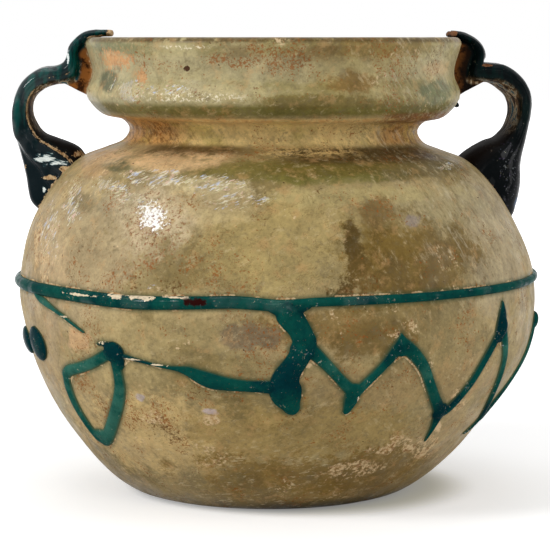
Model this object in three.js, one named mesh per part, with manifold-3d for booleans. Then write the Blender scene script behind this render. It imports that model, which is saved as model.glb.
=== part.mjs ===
// A round-bellied glass jar, blown in one piece with a folded collar at its mouth.
// Two strap handles and several trails of darker glass are laid on it as separate gathers.
// Millimetres, +Z up; the origin is on the table under the middle of the jar.
import * as THREE from "three";
import { mergeVertices } from "three/addons/utils/BufferGeometryUtils.js";
import Module from "manifold-3d";

const wasm = await Module();
wasm.setup();

// The jar's outline
const RIM_HEIGHT = 92;
const LIP_RADIUS = 38;
const COLLAR_RADIUS = 37.9; // the bulge at the foot of the collar
const COLLAR_WAIST_RADIUS = 36.6; // the hollow between the bulge and the lip
const NECK_RADIUS = 29.2;
const NECK_HEIGHT = 73.3;
const BODY_RADIUS = 52.4;
const GIRTH_HEIGHT = 40.5;
const FOOT_RADIUS = 25.6;
const REST_INNER_RADIUS = 17; // inside this the bottom is pushed up
const KICK_DEPTH = 3.2;
const PONTIL_RADIUS = 6.5; // the broken ring that the rod left under the jar
const PONTIL_RIDGE = 0.45;

// The glass and its seats
const BODY_WALL = 2;
const COLLAR_WALL = 2.6;
const FLOOR_WALL = 3;
const CLEARANCE = 0.3; // between the jar and whatever is laid on it

// How the hot jar sagged
const COLLAR_TILT = 0.56; // the neck's right side hangs this much lower than its middle
const TILT_REACH = 9; // how far above and below the neck the tilt is felt
const SWAY = [
  [0, -1.2],
  [0.13, -0.5],
  [0.34, 0.8],
  [0.48, 0.4],
  [0.62, -0.4],
  [1, -0.3],
]; // share of the rim's height, sideways shift

// The handles
const HANDLE_WIDTH = 11;
const PAD_HEIGHT = 62; // where the middle of each pad meets the shoulder
const RIB_COUNT = 3;
const RIB_DEPTH = 0.4;
const WEB_WIDTH = 6.5; // the strip that ties the strap to the collar
const WEB_SINK = 1.2; // how far that strip runs on into the collar before it is trimmed
const WEB_START = 8.2; // where along the rows of the handle's outline the strip begins and ends
const WEB_END = 13.3;
const WEB_FOOT_UP = 0.34; // share of the collar's height

// The trails
const BELLY_TRAIL_HEIGHT = 43.65;
const BELLY_TRAIL_WIDTH = 2.1;
const BELLY_TRAIL_TILT = 0.0078;
const TRAIL_PROUD = 0.8; // how far a trail stands out of its seat
const TRUNK_PROUD = 1.2;
const TRAIL_OVERLAP = 0.6; // how far a trail runs on under the one that it is trimmed to
const TRUNK_ROOT = 1.3; // how far under the belly trail's middle the wide root of the trunk starts
const BACK_PEAK_HEIGHT = 35.3;
const BACK_VALLEY_HEIGHT = 18;
const BACK_FIRST_PEAK = 84; // degrees round from the front, turning right
const BACK_LAST_PEAK = 276;
const BACK_WAVES = 6;
const BACK_START_ANGLE = 69.8;
const BACK_START_HEIGHT = 16.8;

// The fineness of the surfaces
const ROUND_STEPS = 56;
const THREAD_SIDES = 7;
const THREAD_STEP = 3.6;
const THREAD_FULLNESS = 1.12; // few-sided rods are drawn wider, so that they cover what round ones do
const STRAP_SIDES = 20;
const STRAP_FULLNESS = 1.13; // and the strap thicker, for its rounded corners
const STRAP_STEPS = 26;
const SMALLEST_DETAIL = 0.03; // facets flatter than this are merged after a trim

// Outline shares, from the foot to the girth and from the girth to the neck: [out, up]
const LOWER_FORM = [
  [0, 0],
  [0.115, 0.025],
  [0.32, 0.123],
  [0.555, 0.296],
  [0.826, 0.568],
  [0.937, 0.74],
  [1, 1],
];
const UPPER_FORM = [
  [0.935, 0.29],
  [0.762, 0.564],
  [0.545, 0.762],
  [0.41, 0.832],
  [0.215, 0.884],
  [0.05, 0.935],
  [0, 1],
];
const COLLAR_FORM = [
  [0.15, 0.1],
  [0.62, 0.16],
  [0.93, 0.305],
]; // the underside of the collar, as shares of its flare and its height
const BULGE_UP = 0.41;
const WAIST_UP = 0.61;

const radians = (degrees) => THREE.MathUtils.degToRad(degrees);

// A smooth step through a short table of [place, value].
function alongTable(table, x) {
  const next = table.findIndex(([place]) => place > x);
  if (next < 0) return table[table.length - 1][1];
  if (next === 0) return table[0][1];
  const [x0, y0] = table[next - 1];
  const [x1, y1] = table[next];
  return y0 + (y1 - y0) * THREE.MathUtils.smoothstep(x, x0, x1);
}

// The outer curve from the edge of the foot to the top of the collar, as (radius, height).
function outerCurve() {
  const collarHeight = RIM_HEIGHT - NECK_HEIGHT;
  const flare = COLLAR_RADIUS - NECK_RADIUS;
  const point = (r, z) => new THREE.Vector3(r, z, 0);
  return new THREE.CatmullRomCurve3(
    [
      ...LOWER_FORM.map(([out, up]) =>
        point(FOOT_RADIUS + out * (BODY_RADIUS - FOOT_RADIUS), up * GIRTH_HEIGHT),
      ),
      ...UPPER_FORM.map(([out, up]) =>
        point(
          NECK_RADIUS + out * (BODY_RADIUS - NECK_RADIUS),
          GIRTH_HEIGHT + up * (NECK_HEIGHT - GIRTH_HEIGHT),
        ),
      ),
      ...COLLAR_FORM.map(([out, up]) =>
        point(NECK_RADIUS + out * flare, NECK_HEIGHT + up * collarHeight),
      ),
      point(COLLAR_RADIUS, NECK_HEIGHT + BULGE_UP * collarHeight),
      point(COLLAR_WAIST_RADIUS, NECK_HEIGHT + WAIST_UP * collarHeight),
      point(LIP_RADIUS, RIM_HEIGHT - COLLAR_WALL / 2),
    ],
    false,
    "centripetal",
  );
}

const outline = outerCurve();
const outlineSpans = outline.points.length - 1;
const fineOutline = outline.getPoints(outlineSpans * 12);

// The jar's outer radius at a height; the outline climbs all the way.
function radiusAt(z) {
  const next = Math.max(1, fineOutline.findIndex((p) => p.y > z));
  const a = fineOutline[next - 1];
  const b = fineOutline[next];
  return THREE.MathUtils.lerp(a.x, b.x, (z - a.y) / (b.y - a.y));
}

// Each point of an outline moved along its outward normal.
function offsetOutline(points, distanceAt) {
  return points.map((p, i) => {
    const before = points[Math.max(0, i - 1)];
    const after = points[Math.min(points.length - 1, i + 1)];
    const along = after.clone().sub(before).normalize();
    const distance = distanceAt(p);
    return new THREE.Vector2(p.x + along.y * distance, p.y - along.x * distance);
  });
}

function wallAt(point) {
  const low = THREE.MathUtils.smoothstep(point.y, 0, 8);
  const high = THREE.MathUtils.smoothstep(point.y, NECK_HEIGHT - 5, NECK_HEIGHT + 5);
  return FLOOR_WALL + (BODY_WALL - FLOOR_WALL) * low + (COLLAR_WALL - BODY_WALL) * high;
}

// The dome pushed up in the middle of the bottom.
function kickAt(radius) {
  const share = Math.min(1, radius / REST_INNER_RADIUS);
  return KICK_DEPTH * Math.cos((share * Math.PI) / 2) ** 2;
}

function lipArc(grow) {
  const roundness = COLLAR_WALL / 2;
  const reach = roundness + grow;
  return [1, 2, 3, 4, 5].map((k) => {
    const angle = (k * Math.PI) / 6;
    return new THREE.Vector2(
      LIP_RADIUS - roundness + reach * Math.cos(angle),
      RIM_HEIGHT - roundness + reach * Math.sin(angle),
    );
  });
}

// The whole wall of the jar as one closed section, from the axis underneath to the axis inside.
function jarSection() {
  const outer = outline.getPoints(Math.round(outlineSpans * 1.5)).map((p) => new THREE.Vector2(p.x, p.y));
  const inner = offsetOutline(outer, (p) => -wallAt(p))
    .filter((p, i) => i % 2 === 0)
    .reverse();
  const pontil = [-1, -0.4, 0.4, 1].map((k) => {
    const r = PONTIL_RADIUS + k;
    return new THREE.Vector2(r, kickAt(r) - (Math.abs(k) < 1 ? PONTIL_RIDGE : 0));
  });
  const outwards = [10.5, 14].map((r) => new THREE.Vector2(r, kickAt(r)));
  const bottom = [new THREE.Vector2(0, kickAt(0)), ...pontil, ...outwards];
  const floor = [15, 10, 5, 0].map((r) => new THREE.Vector2(r, kickAt(r) + FLOOR_WALL));
  return [
    ...bottom,
    new THREE.Vector2(REST_INNER_RADIUS, 0),
    ...outer,
    ...lipArc(0),
    ...inner,
    ...floor,
  ];
}

// The filled jar with its mouth open down to the neck, grown all over: what trims the pieces laid on it.
function trimSection(grow) {
  const outer = outline.getPoints(Math.round(outlineSpans * 1.5)).map((p) => new THREE.Vector2(p.x, p.y));
  const inner = offsetOutline(outer, (p) => -wallAt(p) - grow)
    .filter((p, i) => i % 2 === 0 && p.y > NECK_HEIGHT)
    .reverse();
  return [
    new THREE.Vector2(0, -grow),
    new THREE.Vector2(FOOT_RADIUS, -grow),
    ...offsetOutline(outer, () => grow),
    ...lipArc(grow),
    ...inner,
    new THREE.Vector2(0, NECK_HEIGHT),
  ];
}

// The sag of the hot jar, applied to every point of it and to what is laid on its body.
function settle(p) {
  const nearNeck = Math.exp(-(((p.z - NECK_HEIGHT) / TILT_REACH) ** 2));
  const side = p.x / BODY_RADIUS;
  p.x += alongTable(SWAY, p.z / RIM_HEIGHT);
  p.z -= COLLAR_TILT * side * nearNeck;
  return p;
}

// A point on the outside of the jar, `azimuth` degrees round from the front, lifted off the glass.
function onJar(azimuth, z, lift = 0) {
  const slope = (radiusAt(z + 0.2) - radiusAt(z - 0.2)) / 0.4;
  const steep = Math.hypot(1, slope);
  const r = radiusAt(z) + lift / steep;
  const angle = radians(azimuth);
  return settle(new THREE.Vector3(r * Math.sin(angle), -r * Math.cos(angle), z - (lift * slope) / steep));
}

function toSolid(geometry) {
  const plain = geometry.clone();
  plain.deleteAttribute("normal");
  plain.deleteAttribute("uv");
  const merged = mergeVertices(plain, 1e-4);
  return new wasm.Manifold(
    new wasm.Mesh({
      numProp: 3,
      vertProperties: merged.attributes.position.array,
      triVerts: new Uint32Array(merged.index.array),
    }),
  );
}

function toGeometry(solid) {
  const mesh = solid.getMesh();
  const geometry = new THREE.BufferGeometry();
  geometry.setAttribute("position", new THREE.BufferAttribute(mesh.vertProperties, 3));
  geometry.setIndex(new THREE.BufferAttribute(mesh.triVerts, 1));
  geometry.computeVertexNormals();
  return geometry;
}

function turned(section) {
  const geometry = new THREE.LatheGeometry(section, ROUND_STEPS).rotateX(Math.PI / 2);
  const position = geometry.attributes.position;
  for (let i = 0; i < position.count; i++) {
    const p = settle(new THREE.Vector3().fromBufferAttribute(position, i));
    position.setXYZ(i, p.x, p.y, p.z);
  }
  return toSolid(geometry);
}

// A closed skin over rings of points; with `closed`, the last ring joins the first.
function loft(rings, closed = false) {
  const sides = rings[0].length;
  const points = rings.flat();
  const index = [];
  const spans = closed ? rings.length : rings.length - 1;
  for (let i = 0; i < spans; i++)
    for (let j = 0; j < sides; j++) {
      const a = i * sides + j;
      const b = i * sides + ((j + 1) % sides);
      const c = ((i + 1) % rings.length) * sides + j;
      const d = ((i + 1) % rings.length) * sides + ((j + 1) % sides);
      index.push(a, b, d, a, d, c);
    }
  if (!closed)
    for (const [ring, flip] of [
      [0, false],
      [rings.length - 1, true],
    ]) {
      const middle = new THREE.Vector3();
      rings[ring].forEach((p) => middle.addScaledVector(p, 1 / sides));
      points.push(middle);
      for (let j = 0; j < sides; j++) {
        const a = ring * sides + j;
        const b = ring * sides + ((j + 1) % sides);
        if (flip) index.push(points.length - 1, a, b);
        else index.push(points.length - 1, b, a);
      }
    }
  const geometry = new THREE.BufferGeometry().setFromPoints(points);
  geometry.setIndex(index);
  return toSolid(geometry);
}

// One oval ring of a trail, square to its run and standing on the jar.
function threadRing(here, ahead, halfWidth, proud) {
  const foot = onJar(here.azimuth, here.z, CLEARANCE);
  const out = onJar(here.azimuth, here.z, CLEARANCE + 1).sub(foot);
  const across = ahead.clone().cross(out).normalize();
  const ring = [];
  for (let k = 0; k < THREAD_SIDES; k++) {
    const angle = ((k + 0.5) * 2 * Math.PI) / THREAD_SIDES;
    ring.push(
      foot
        .clone()
        .addScaledVector(across, halfWidth * Math.cos(angle))
        .addScaledVector(out, -proud * Math.sin(angle)),
    );
  }
  return ring;
}

// A round-ended stretch of trail through [azimuth, height, half width] points, grown all over if asked.
function thread(route, proud = TRAIL_PROUD, grow = 0) {
  const curve = new THREE.CatmullRomCurve3(
    route.map(
      ([azimuth, z, half]) =>
        new THREE.Vector3(radians(azimuth) * BODY_RADIUS, z, half * THREAD_FULLNESS + grow),
    ),
    false,
    "centripetal",
  );
  const steps = Math.max(3, Math.round(curve.getLength() / THREAD_STEP));
  const place = (t) => {
    const p = curve.getPoint(THREE.MathUtils.clamp(t, 0, 1));
    return { azimuth: THREE.MathUtils.radToDeg(p.x / BODY_RADIUS), z: p.y, half: p.z };
  };
  const rings = [];
  for (let i = 0; i <= steps; i++) {
    const here = place(i / steps);
    const back = place(i / steps - 0.02);
    const front = place(i / steps + 0.02);
    const ahead = onJar(front.azimuth, front.z).sub(onJar(back.azimuth, back.z)).normalize();
    const height = proud * Math.min(1, 0.45 + here.half / 2) + grow;
    const ring = threadRing(here, ahead, here.half, height);
    const end = i === 0 ? -1 : i === steps ? 1 : 0;
    const shrunk = (share, reach) => {
      const middle = onJar(here.azimuth, here.z, CLEARANCE);
      return ring.map((p) =>
        p.clone().lerp(middle, 1 - share).addScaledVector(ahead, end * reach * here.half),
      );
    };
    if (end < 0) rings.push(shrunk(0.4, 0.9), shrunk(0.8, 0.55));
    rings.push(ring);
    if (end > 0) rings.push(shrunk(0.8, 0.55), shrunk(0.4, 0.9));
  }
  return loft(rings);
}

// A flattened drop of glass pressed on the jar, grown all over if asked.
function drop(azimuth, z, across, up, proud, grow = 0) {
  const geometry = new THREE.SphereGeometry(1, 12, 8);
  const foot = onJar(azimuth, z, CLEARANCE);
  const out = onJar(azimuth, z, CLEARANCE + 1).sub(foot).normalize();
  const side = new THREE.Vector3(Math.cos(radians(azimuth)), Math.sin(radians(azimuth)), 0);
  const rise = out.clone().cross(side).normalize();
  const basis = new THREE.Matrix4().makeBasis(
    side.multiplyScalar(across + grow),
    rise.multiplyScalar(up + grow),
    out.multiplyScalar(proud + grow),
  );
  basis.setPosition(foot);
  return toSolid(geometry.applyMatrix4(basis));
}

const joined = (solids) => solids.reduce((all, next) => all.add(next));

// The thread wound once round the widest part of the belly.
function bellyTrail(grow) {
  const rings = [];
  for (let i = 0; i < ROUND_STEPS; i++) {
    const azimuth = (i * 360) / ROUND_STEPS;
    const rise = BELLY_TRAIL_TILT * BODY_RADIUS * Math.sin(radians(azimuth));
    const z = BELLY_TRAIL_HEIGHT + rise;
    const ahead = new THREE.Vector3(Math.cos(radians(azimuth)), Math.sin(radians(azimuth)), 0);
    const swell = 1 + 0.12 * Math.sin(radians(3 * azimuth + 40));
    const half = (BELLY_TRAIL_WIDTH / 2) * swell + grow;
    rings.push(threadRing({ azimuth, z }, ahead, half, TRAIL_PROUD * swell + grow));
  }
  return loft(rings, true);
}

// The forked trunk under the belly trail, ending in a heavy drop.
function trunkTrail(grow) {
  const stem = [
    [2.1, BELLY_TRAIL_HEIGHT - TRUNK_ROOT, 2.7],
    [2.8, 41.4, 2.4],
    [4.3, 38.7, 2.05],
    [5.4, 36.1, 2.05],
  ];
  const branch = [
    [5.4, 36.3, 2],
    [5, 35.1, 1.95],
    [3.6, 32.8, 1.95],
    [2.3, 31.1, 2.05],
    [1.3, 29.2, 2.5],
    [1.3, 27.2, 2.9],
    [2.2, 25.2, 2.5],
    [3.1, 23.8, 1.5],
  ];
  return joined([
    thread(stem, TRUNK_PROUD, grow),
    thread(branch, TRUNK_PROUD, grow),
    drop(1.7, 27, 3, 3, 1.6, grow),
  ]);
}

// The zigzag from the fork to the right-hand side of the jar.
function frontZigzag(grow) {
  const legs = [
    [
      [5.6, 35.6, 1.3],
      [8.3, 33.3, 1.15],
      [10.9, 30.9, 1.15],
      [13.6, 28.5, 1.15],
      [16.2, 26.5, 1.15],
    ],
    [
      [16.3, 26.3, 1.2],
      [16.2, 24.4, 1],
      [16, 22.5, 0.55],
    ],
    [
      [16.6, 26, 1],
      [19.4, 28.7, 0.9],
      [22.3, 31.4, 0.9],
      [25, 34.4, 1.1],
      [26, 36.4, 0.8],
    ],
    [
      [26.4, 35.2, 1.4],
      [28.9, 33.5, 1.35],
      [32, 30.7, 1.25],
      [34.8, 27.3, 1.2],
      [38.3, 23.9, 1.25],
      [42.3, 20.9, 1.3],
    ],
    [
      [42.6, 20.8, 1.2],
      [43.6, 17.6, 0.8],
      [44, 14.6, 0.35],
    ],
    [
      [42.6, 20.4, 1.1],
      [44.8, 21.9, 1],
      [47.4, 25.3, 0.95],
      [49.7, 29.6, 0.95],
      [52.8, 33.4, 1],
      [54.9, 35.7, 1.2],
    ],
    [
      [55.4, 36.4, 1.5],
      [55.5, 38.6, 1],
      [55.6, 40.3, 0.4],
    ],
    [
      [55.8, 36.2, 1.5],
      [57.3, 34.2, 1.4],
      [59.2, 31, 1.3],
      [61, 26.8, 1.2],
      [63.4, 22.8, 1.2],
      [66.9, 19.2, 1.2],
      [69.6, 16.6, 1.2],
    ],
    [
      [69.4, 16.6, 1.1],
      [67.2, 15, 0.9],
      [64.6, 13.9, 0.45],
    ],
  ];
  return joined([
    ...legs.map((route) => thread(route, TRAIL_PROUD, grow)),
    drop(26.2, 35.1, 2.1, 1.7, 1.2, grow),
    drop(55.4, 36.6, 1.9, 2.1, 1.2, grow),
  ]);
}

// The zigzag goes on round the hidden side: legs between peaks and valleys, none quite alike.
function backZigzag() {
  const pitch = (BACK_LAST_PEAK - BACK_FIRST_PEAK) / BACK_WAVES;
  const peak = (k) => [BACK_FIRST_PEAK + k * pitch, BACK_PEAK_HEIGHT + 0.7 * Math.sin(2.4 * k)];
  const valley = (k) => [
    BACK_FIRST_PEAK + (k + 0.5) * pitch,
    BACK_VALLEY_HEIGHT + 1.2 * Math.cos(1.9 * k),
  ];
  const leg = ([a0, z0], [a1, z1], bow) =>
    thread([
      [a0, z0, 1.25],
      [(a0 + a1) / 2 + bow, (z0 + z1) / 2, 1],
      [a1, z1, 1.1],
    ]);
  const legs = [leg([BACK_START_ANGLE, BACK_START_HEIGHT], peak(0), 0.5)];
  for (let k = 0; k < BACK_WAVES; k++) {
    const last = k === BACK_WAVES - 1;
    const [azimuth, z] = peak(k);
    legs.push(drop(azimuth, z - 0.4, 1.9, 1.9, 1.2));
    legs.push(leg(peak(k), valley(k), 0.8 * Math.sin(k)));
    if (!last) legs.push(leg(valley(k), peak(k + 1), -0.6 * Math.cos(k)));
  }
  const [azimuth, z] = valley(BACK_WAVES - 1);
  legs.push(
    thread([
      [azimuth, z, 1.1],
      [azimuth + 5, 22, 1],
      [azimuth + 8.5, 27, 0.9],
    ]),
  );
  return joined(legs);
}

// The thread that thins out from the knot on the left and thickens again towards the drop.
function linkTrail() {
  return thread([
    [-36, 32.7, 0.6],
    [-31.6, 32, 0.45],
    [-27.8, 31.4, 0.4],
    [-24.8, 31, 0.4],
    [-21.9, 30.8, 0.5],
    [-19.4, 30.4, 1.05],
    [-16.7, 29.4, 1.55],
    [-14.3, 28.7, 1.7],
    [-10.8, 28.2, 1.4],
    [-7, 27.9, 1.25],
    [-3.6, 27.8, 1.25],
    [0, 27.6, 1.5],
  ]);
}

// The open loop that hangs from a knot on the left.
function loopTrail(grow) {
  const parts = [
    [
      [-37.4, 34, 0.9],
      [-39.4, 34.5, 0.55],
      [-41.4, 34.3, 0.3],
    ],
    [
      [-36.9, 33.3, 1.2],
      [-37.3, 31.5, 1.1],
      [-37.1, 29.2, 1.05],
      [-37.4, 26, 1.2],
      [-39.5, 22.4, 1.2],
      [-44, 18, 1.2],
      [-49, 14.7, 1.2],
      [-52, 13.5, 1.1],
    ],
    [
      [-51.8, 13.6, 1.05],
      [-54.2, 13.9, 1],
      [-55.4, 15.7, 0.9],
      [-56.4, 18.2, 0.9],
      [-57, 21.2, 0.85],
      [-56.8, 24.1, 0.85],
      [-55.8, 26.7, 0.95],
    ],
    [
      [-55.9, 26.9, 0.95],
      [-54.2, 27.8, 0.95],
      [-48.3, 29.2, 0.85],
      [-43.7, 30.6, 0.85],
      [-39.4, 32.4, 0.95],
      [-37.3, 33.3, 1],
    ],
  ];
  return joined([
    ...parts.map((route) => thread(route, TRAIL_PROUD, grow)),
    drop(-36.9, 33.5, 2.1, 1.7, 1.3, grow),
  ]);
}

// What is left of a thin thread under the belly trail on the left.
function stubTrail() {
  return thread([
    [-65, BELLY_TRAIL_HEIGHT - TRAIL_OVERLAP, 0.55],
    [-62.2, 41.6, 0.55],
    [-55.5, 40, 0.55],
    [-51.6, 38.9, 0.5],
    [-48.5, 37.7, 0.45],
    [-45.1, 36.3, 0.3],
  ]);
}

const leftDrop = () => drop(-71.5, 31.3, 5.6, 3.1, 1.9);

const collarBead = () => drop(90, 78.7, 0.7, 0.7, 0.9);

// Side outline of the left loop, from the shoulder up to the collar. Each row holds an inner and an
// outer point: along the line from the collar to the pad as a share, and out from it in millimetres.
const LEFT_LOOP = [
  [0.84, -7.4, 1.3, -1.1],
  [0.56, -1.7, 1.2, 3.1],
  [0.57, 2.4, 1.01, 5.7],
  [0.55, 6, 0.82, 8.4],
  [0.46, 8.5, 0.64, 11.1],
  [0.35, 9.8, 0.44, 13],
  [0.23, 10, 0.23, 13.4],
  [0.12, 8.8, 0.07, 12.5],
  [0.03, 6.7, -0.07, 10.2],
  [-0.02, 4.7, -0.14, 7.5],
];
// The rest of it, up the collar and over the lip: inner and outer points from the lip's edge.
const LEFT_FOLD = [
  [2.2, -8, 4.6, -5],
  [1.5, -5.5, 3.9, -3.7],
  [1.8, -3.2, 3.6, -2.1],
  [0.6, -1.6, 2, -0.1],
  [-0.8, -0.6, -0.2, 1.3],
  [-2.5, 0.1, -2.8, 1.5],
  [-5, 0.2, -5, 1.4],
];
const RIGHT_LOOP = [
  [0.9, -9.4, 1.4, -1.3],
  [0.67, -2.5, 1.26, 1.6],
  [0.65, 1, 1.08, 4.3],
  [0.58, 4.4, 0.86, 6.5],
  [0.5, 7.4, 0.65, 9.5],
  [0.38, 9.4, 0.43, 12.2],
  [0.25, 9.9, 0.24, 13.1],
  [0.13, 8.9, 0.06, 12.3],
  [0.03, 7.3, -0.1, 10.1],
  [-0.02, 5.1, -0.16, 7.8],
];
const RIGHT_FOLD = [
  [1.6, -8.4, 4.3, -5],
  [1.9, -5.4, 4.9, -4.1],
  [2.6, -3.1, 4.6, -2.3],
  [1.6, -1.4, 3.2, -0.4],
  [0.2, -0.8, 1, 0.8],
  [-0.9, -0.2, -0.6, 1.2],
  [-2, 0.1, -1.8, 1.3],
];

// The inner and the outer edge of a handle as curves of (radius, height).
function handleEdges(loop, fold) {
  const collar = new THREE.Vector2(
    COLLAR_RADIUS,
    NECK_HEIGHT + BULGE_UP * (RIM_HEIGHT - NECK_HEIGHT),
  );
  const pad = new THREE.Vector2(radiusAt(PAD_HEIGHT), PAD_HEIGHT);
  const chord = pad.clone().sub(collar);
  const out = new THREE.Vector2(-chord.y, chord.x).normalize();
  const lip = new THREE.Vector2(LIP_RADIUS, RIM_HEIGHT);
  const edge = (side) =>
    new THREE.CatmullRomCurve3(
      [
        ...loop.map((row) =>
          collar.clone().addScaledVector(chord, row[side]).addScaledVector(out, row[side + 1]),
        ),
        ...fold.map((row) => lip.clone().add(new THREE.Vector2(row[side], row[side + 1]))),
      ].map((p) => new THREE.Vector3(p.x, p.y, 0)),
      false,
      "centripetal",
    );
  return { inner: edge(0), outer: edge(2) };
}

// The strap's section: flat inside, ribbed outside, with the outer ribs cut back into toes at the pad.
function strapSection(inner, outer, width, toe, roll) {
  const middle = inner.clone().lerp(outer, 0.5);
  const half = outer.clone().sub(inner).multiplyScalar(STRAP_FULLNESS / 2);
  const ring = [];
  for (let k = 0; k < STRAP_SIDES; k++) {
    const angle = (-k * 2 * Math.PI) / STRAP_SIDES;
    const across = Math.sign(Math.cos(angle)) * Math.abs(Math.cos(angle)) ** 0.7;
    let through = Math.sign(Math.sin(angle)) * Math.abs(Math.sin(angle)) ** 0.7;
    if (through > 0) {
      const rib = (1 - Math.cos(RIB_COUNT * Math.PI * (across + 1))) / 2;
      through -= through * (1 - rib) * Math.min(0.5, RIB_DEPTH / half.length());
      const aside = THREE.MathUtils.smoothstep(Math.abs(across), 0.3, 0.55);
      through = THREE.MathUtils.lerp(through, through * 2 * (1 - toe) - 1, aside * (toe > 0 ? 1 : 0));
    }
    const p = middle.clone().addScaledVector(half, through);
    const side = (across * width) / 2;
    ring.push({ radius: p.x + roll * side, z: p.y, side });
  }
  return ring;
}

// One handle: the strap, and the narrower web that ties it to the collar.
function handle({ azimuth, loop, fold, toe, roll, spread, swing }) {
  const { inner, outer } = handleEdges(loop, fold);
  const angle = radians(azimuth);
  const place = ({ radius, z, side }) =>
    new THREE.Vector3(
      radius * Math.sin(angle) + side * Math.cos(angle),
      -radius * Math.cos(angle) + side * Math.sin(angle),
      z,
    );
  const rings = [];
  for (let i = 0; i <= STRAP_STEPS; i++) {
    const t = i / STRAP_STEPS;
    const low = 1 - THREE.MathUtils.smoothstep(t, 0, 0.3);
    const narrow = 1 - 0.22 * THREE.MathUtils.smoothstep(t, 0.9, 1);
    const toeHere = toe * (1 - THREE.MathUtils.smoothstep(t, 0.1, 0.26));
    const rollHere = roll * Math.sin(Math.PI * THREE.MathUtils.smoothstep(t, 0.15, 0.75));
    const width = HANDLE_WIDTH * (1 + spread * low) * narrow;
    const ring = strapSection(inner.getPoint(t), outer.getPoint(t), width, toeHere, rollHere);
    rings.push(ring.map((p) => place({ ...p, side: p.side + swing * low })));
  }
  const web = new THREE.Shape();
  const rows = loop.length + fold.length - 1;
  const webSteps = 10;
  for (let i = 0; i <= webSteps; i++) {
    const t = THREE.MathUtils.lerp(WEB_START, WEB_END, i / webSteps) / rows;
    const p = inner.getPoint(t).lerp(outer.getPoint(t), 0.3);
    if (i === 0) web.moveTo(p.x, p.y);
    else web.lineTo(p.x, p.y);
  }
  const collarFoot = NECK_HEIGHT + WEB_FOOT_UP * (RIM_HEIGHT - NECK_HEIGHT);
  web.lineTo(LIP_RADIUS - WEB_SINK, RIM_HEIGHT - COLLAR_WALL / 2);
  web.lineTo(COLLAR_WAIST_RADIUS - WEB_SINK, NECK_HEIGHT + WAIST_UP * (RIM_HEIGHT - NECK_HEIGHT));
  web.lineTo(radiusAt(collarFoot) - WEB_SINK, collarFoot);
  const webGeometry = new THREE.ExtrudeGeometry(web, { depth: WEB_WIDTH, bevelEnabled: false });
  const position = webGeometry.attributes.position;
  for (let i = 0; i < position.count; i++) {
    const side = WEB_WIDTH / 2 - position.getZ(i);
    const p = place({ radius: position.getX(i), z: position.getY(i), side });
    position.setXYZ(i, p.x, p.y, p.z);
  }
  return joined([loft(rings), toSolid(webGeometry)]);
}

// The largest body of a trimmed solid: a trim can leave crumbs on the far side of the wall.
function largest(solid) {
  const bodies = solid.decompose();
  const body = bodies.reduce((best, next) => (next.volume() > best.volume() ? next : best));
  return body.asOriginal().simplify(SMALLEST_DETAIL);
}

const jarGlass = { color: 0xa39a70, roughness: 0.35, metalness: 0 };
const handleGlass = { color: 0x0d2b2e, roughness: 0.12, metalness: 0 };
const trailGlass = { color: 0x1c5f5c, roughness: 0.2, metalness: 0 };

function piece(name, solid, finish) {
  const mesh = new THREE.Mesh(toGeometry(solid), new THREE.MeshStandardMaterial(finish));
  mesh.name = name;
  return mesh;
}

const trim = turned(trimSection(CLEARANCE));
const laid = (solid) => largest(solid.subtract(trim));
const belly = bellyTrail(0);
const bellyRoom = bellyTrail(CLEARANCE);
// Each trail runs on into the one that it meets, and stops a clearance short of it.
const trunk = laid(trunkTrail(0).subtract(bellyRoom));
const trunkRoom = trunkTrail(CLEARANCE);
const front = laid(frontZigzag(0).subtract(bellyRoom).subtract(trunkRoom));
const back = laid(backZigzag().subtract(bellyRoom).subtract(frontZigzag(CLEARANCE)));
const link = laid(linkTrail().subtract(trunkRoom).subtract(loopTrail(CLEARANCE)));
const stub = laid(stubTrail().subtract(bellyRoom));

const jar = new THREE.Group();
jar.add(piece("vessel", turned(jarSection()), jarGlass));
const leftForm = {
  loop: LEFT_LOOP,
  fold: LEFT_FOLD,
  azimuth: -90,
  toe: 0.3, // how deep the pad is cut into toes
  roll: 0,
  spread: 0.25, // how much wider the pad is than the strap
  swing: 0, // how far the pad sits to one side
};
const rightForm = {
  loop: RIGHT_LOOP,
  fold: RIGHT_FOLD,
  azimuth: 98,
  toe: 0,
  roll: -0.1,
  spread: 0.6,
  swing: -3.5,
};
jar.add(piece("left_handle", laid(handle(leftForm).subtract(bellyRoom)), handleGlass));
jar.add(piece("right_handle", laid(handle(rightForm).subtract(bellyRoom)), handleGlass));
jar.add(piece("belly_trail", laid(belly), trailGlass));
jar.add(piece("trunk_trail", trunk, trailGlass));
jar.add(piece("front_zigzag_trail", front, trailGlass));
jar.add(piece("link_trail", link, trailGlass));
jar.add(piece("loop_trail", laid(loopTrail(0)), trailGlass));
jar.add(piece("stub_trail", stub, trailGlass));
jar.add(piece("left_drop", laid(leftDrop()), trailGlass));
jar.add(piece("back_zigzag_trail", back, trailGlass));
jar.add(piece("collar_bead", laid(collarBead()), handleGlass));

export default jar;
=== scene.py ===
# A small handled glass jar: weathered khaki body, dark strap handles, teal trails on the belly.
import math

import bmesh
import bpy
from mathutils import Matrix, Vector, kdtree, noise


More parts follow.
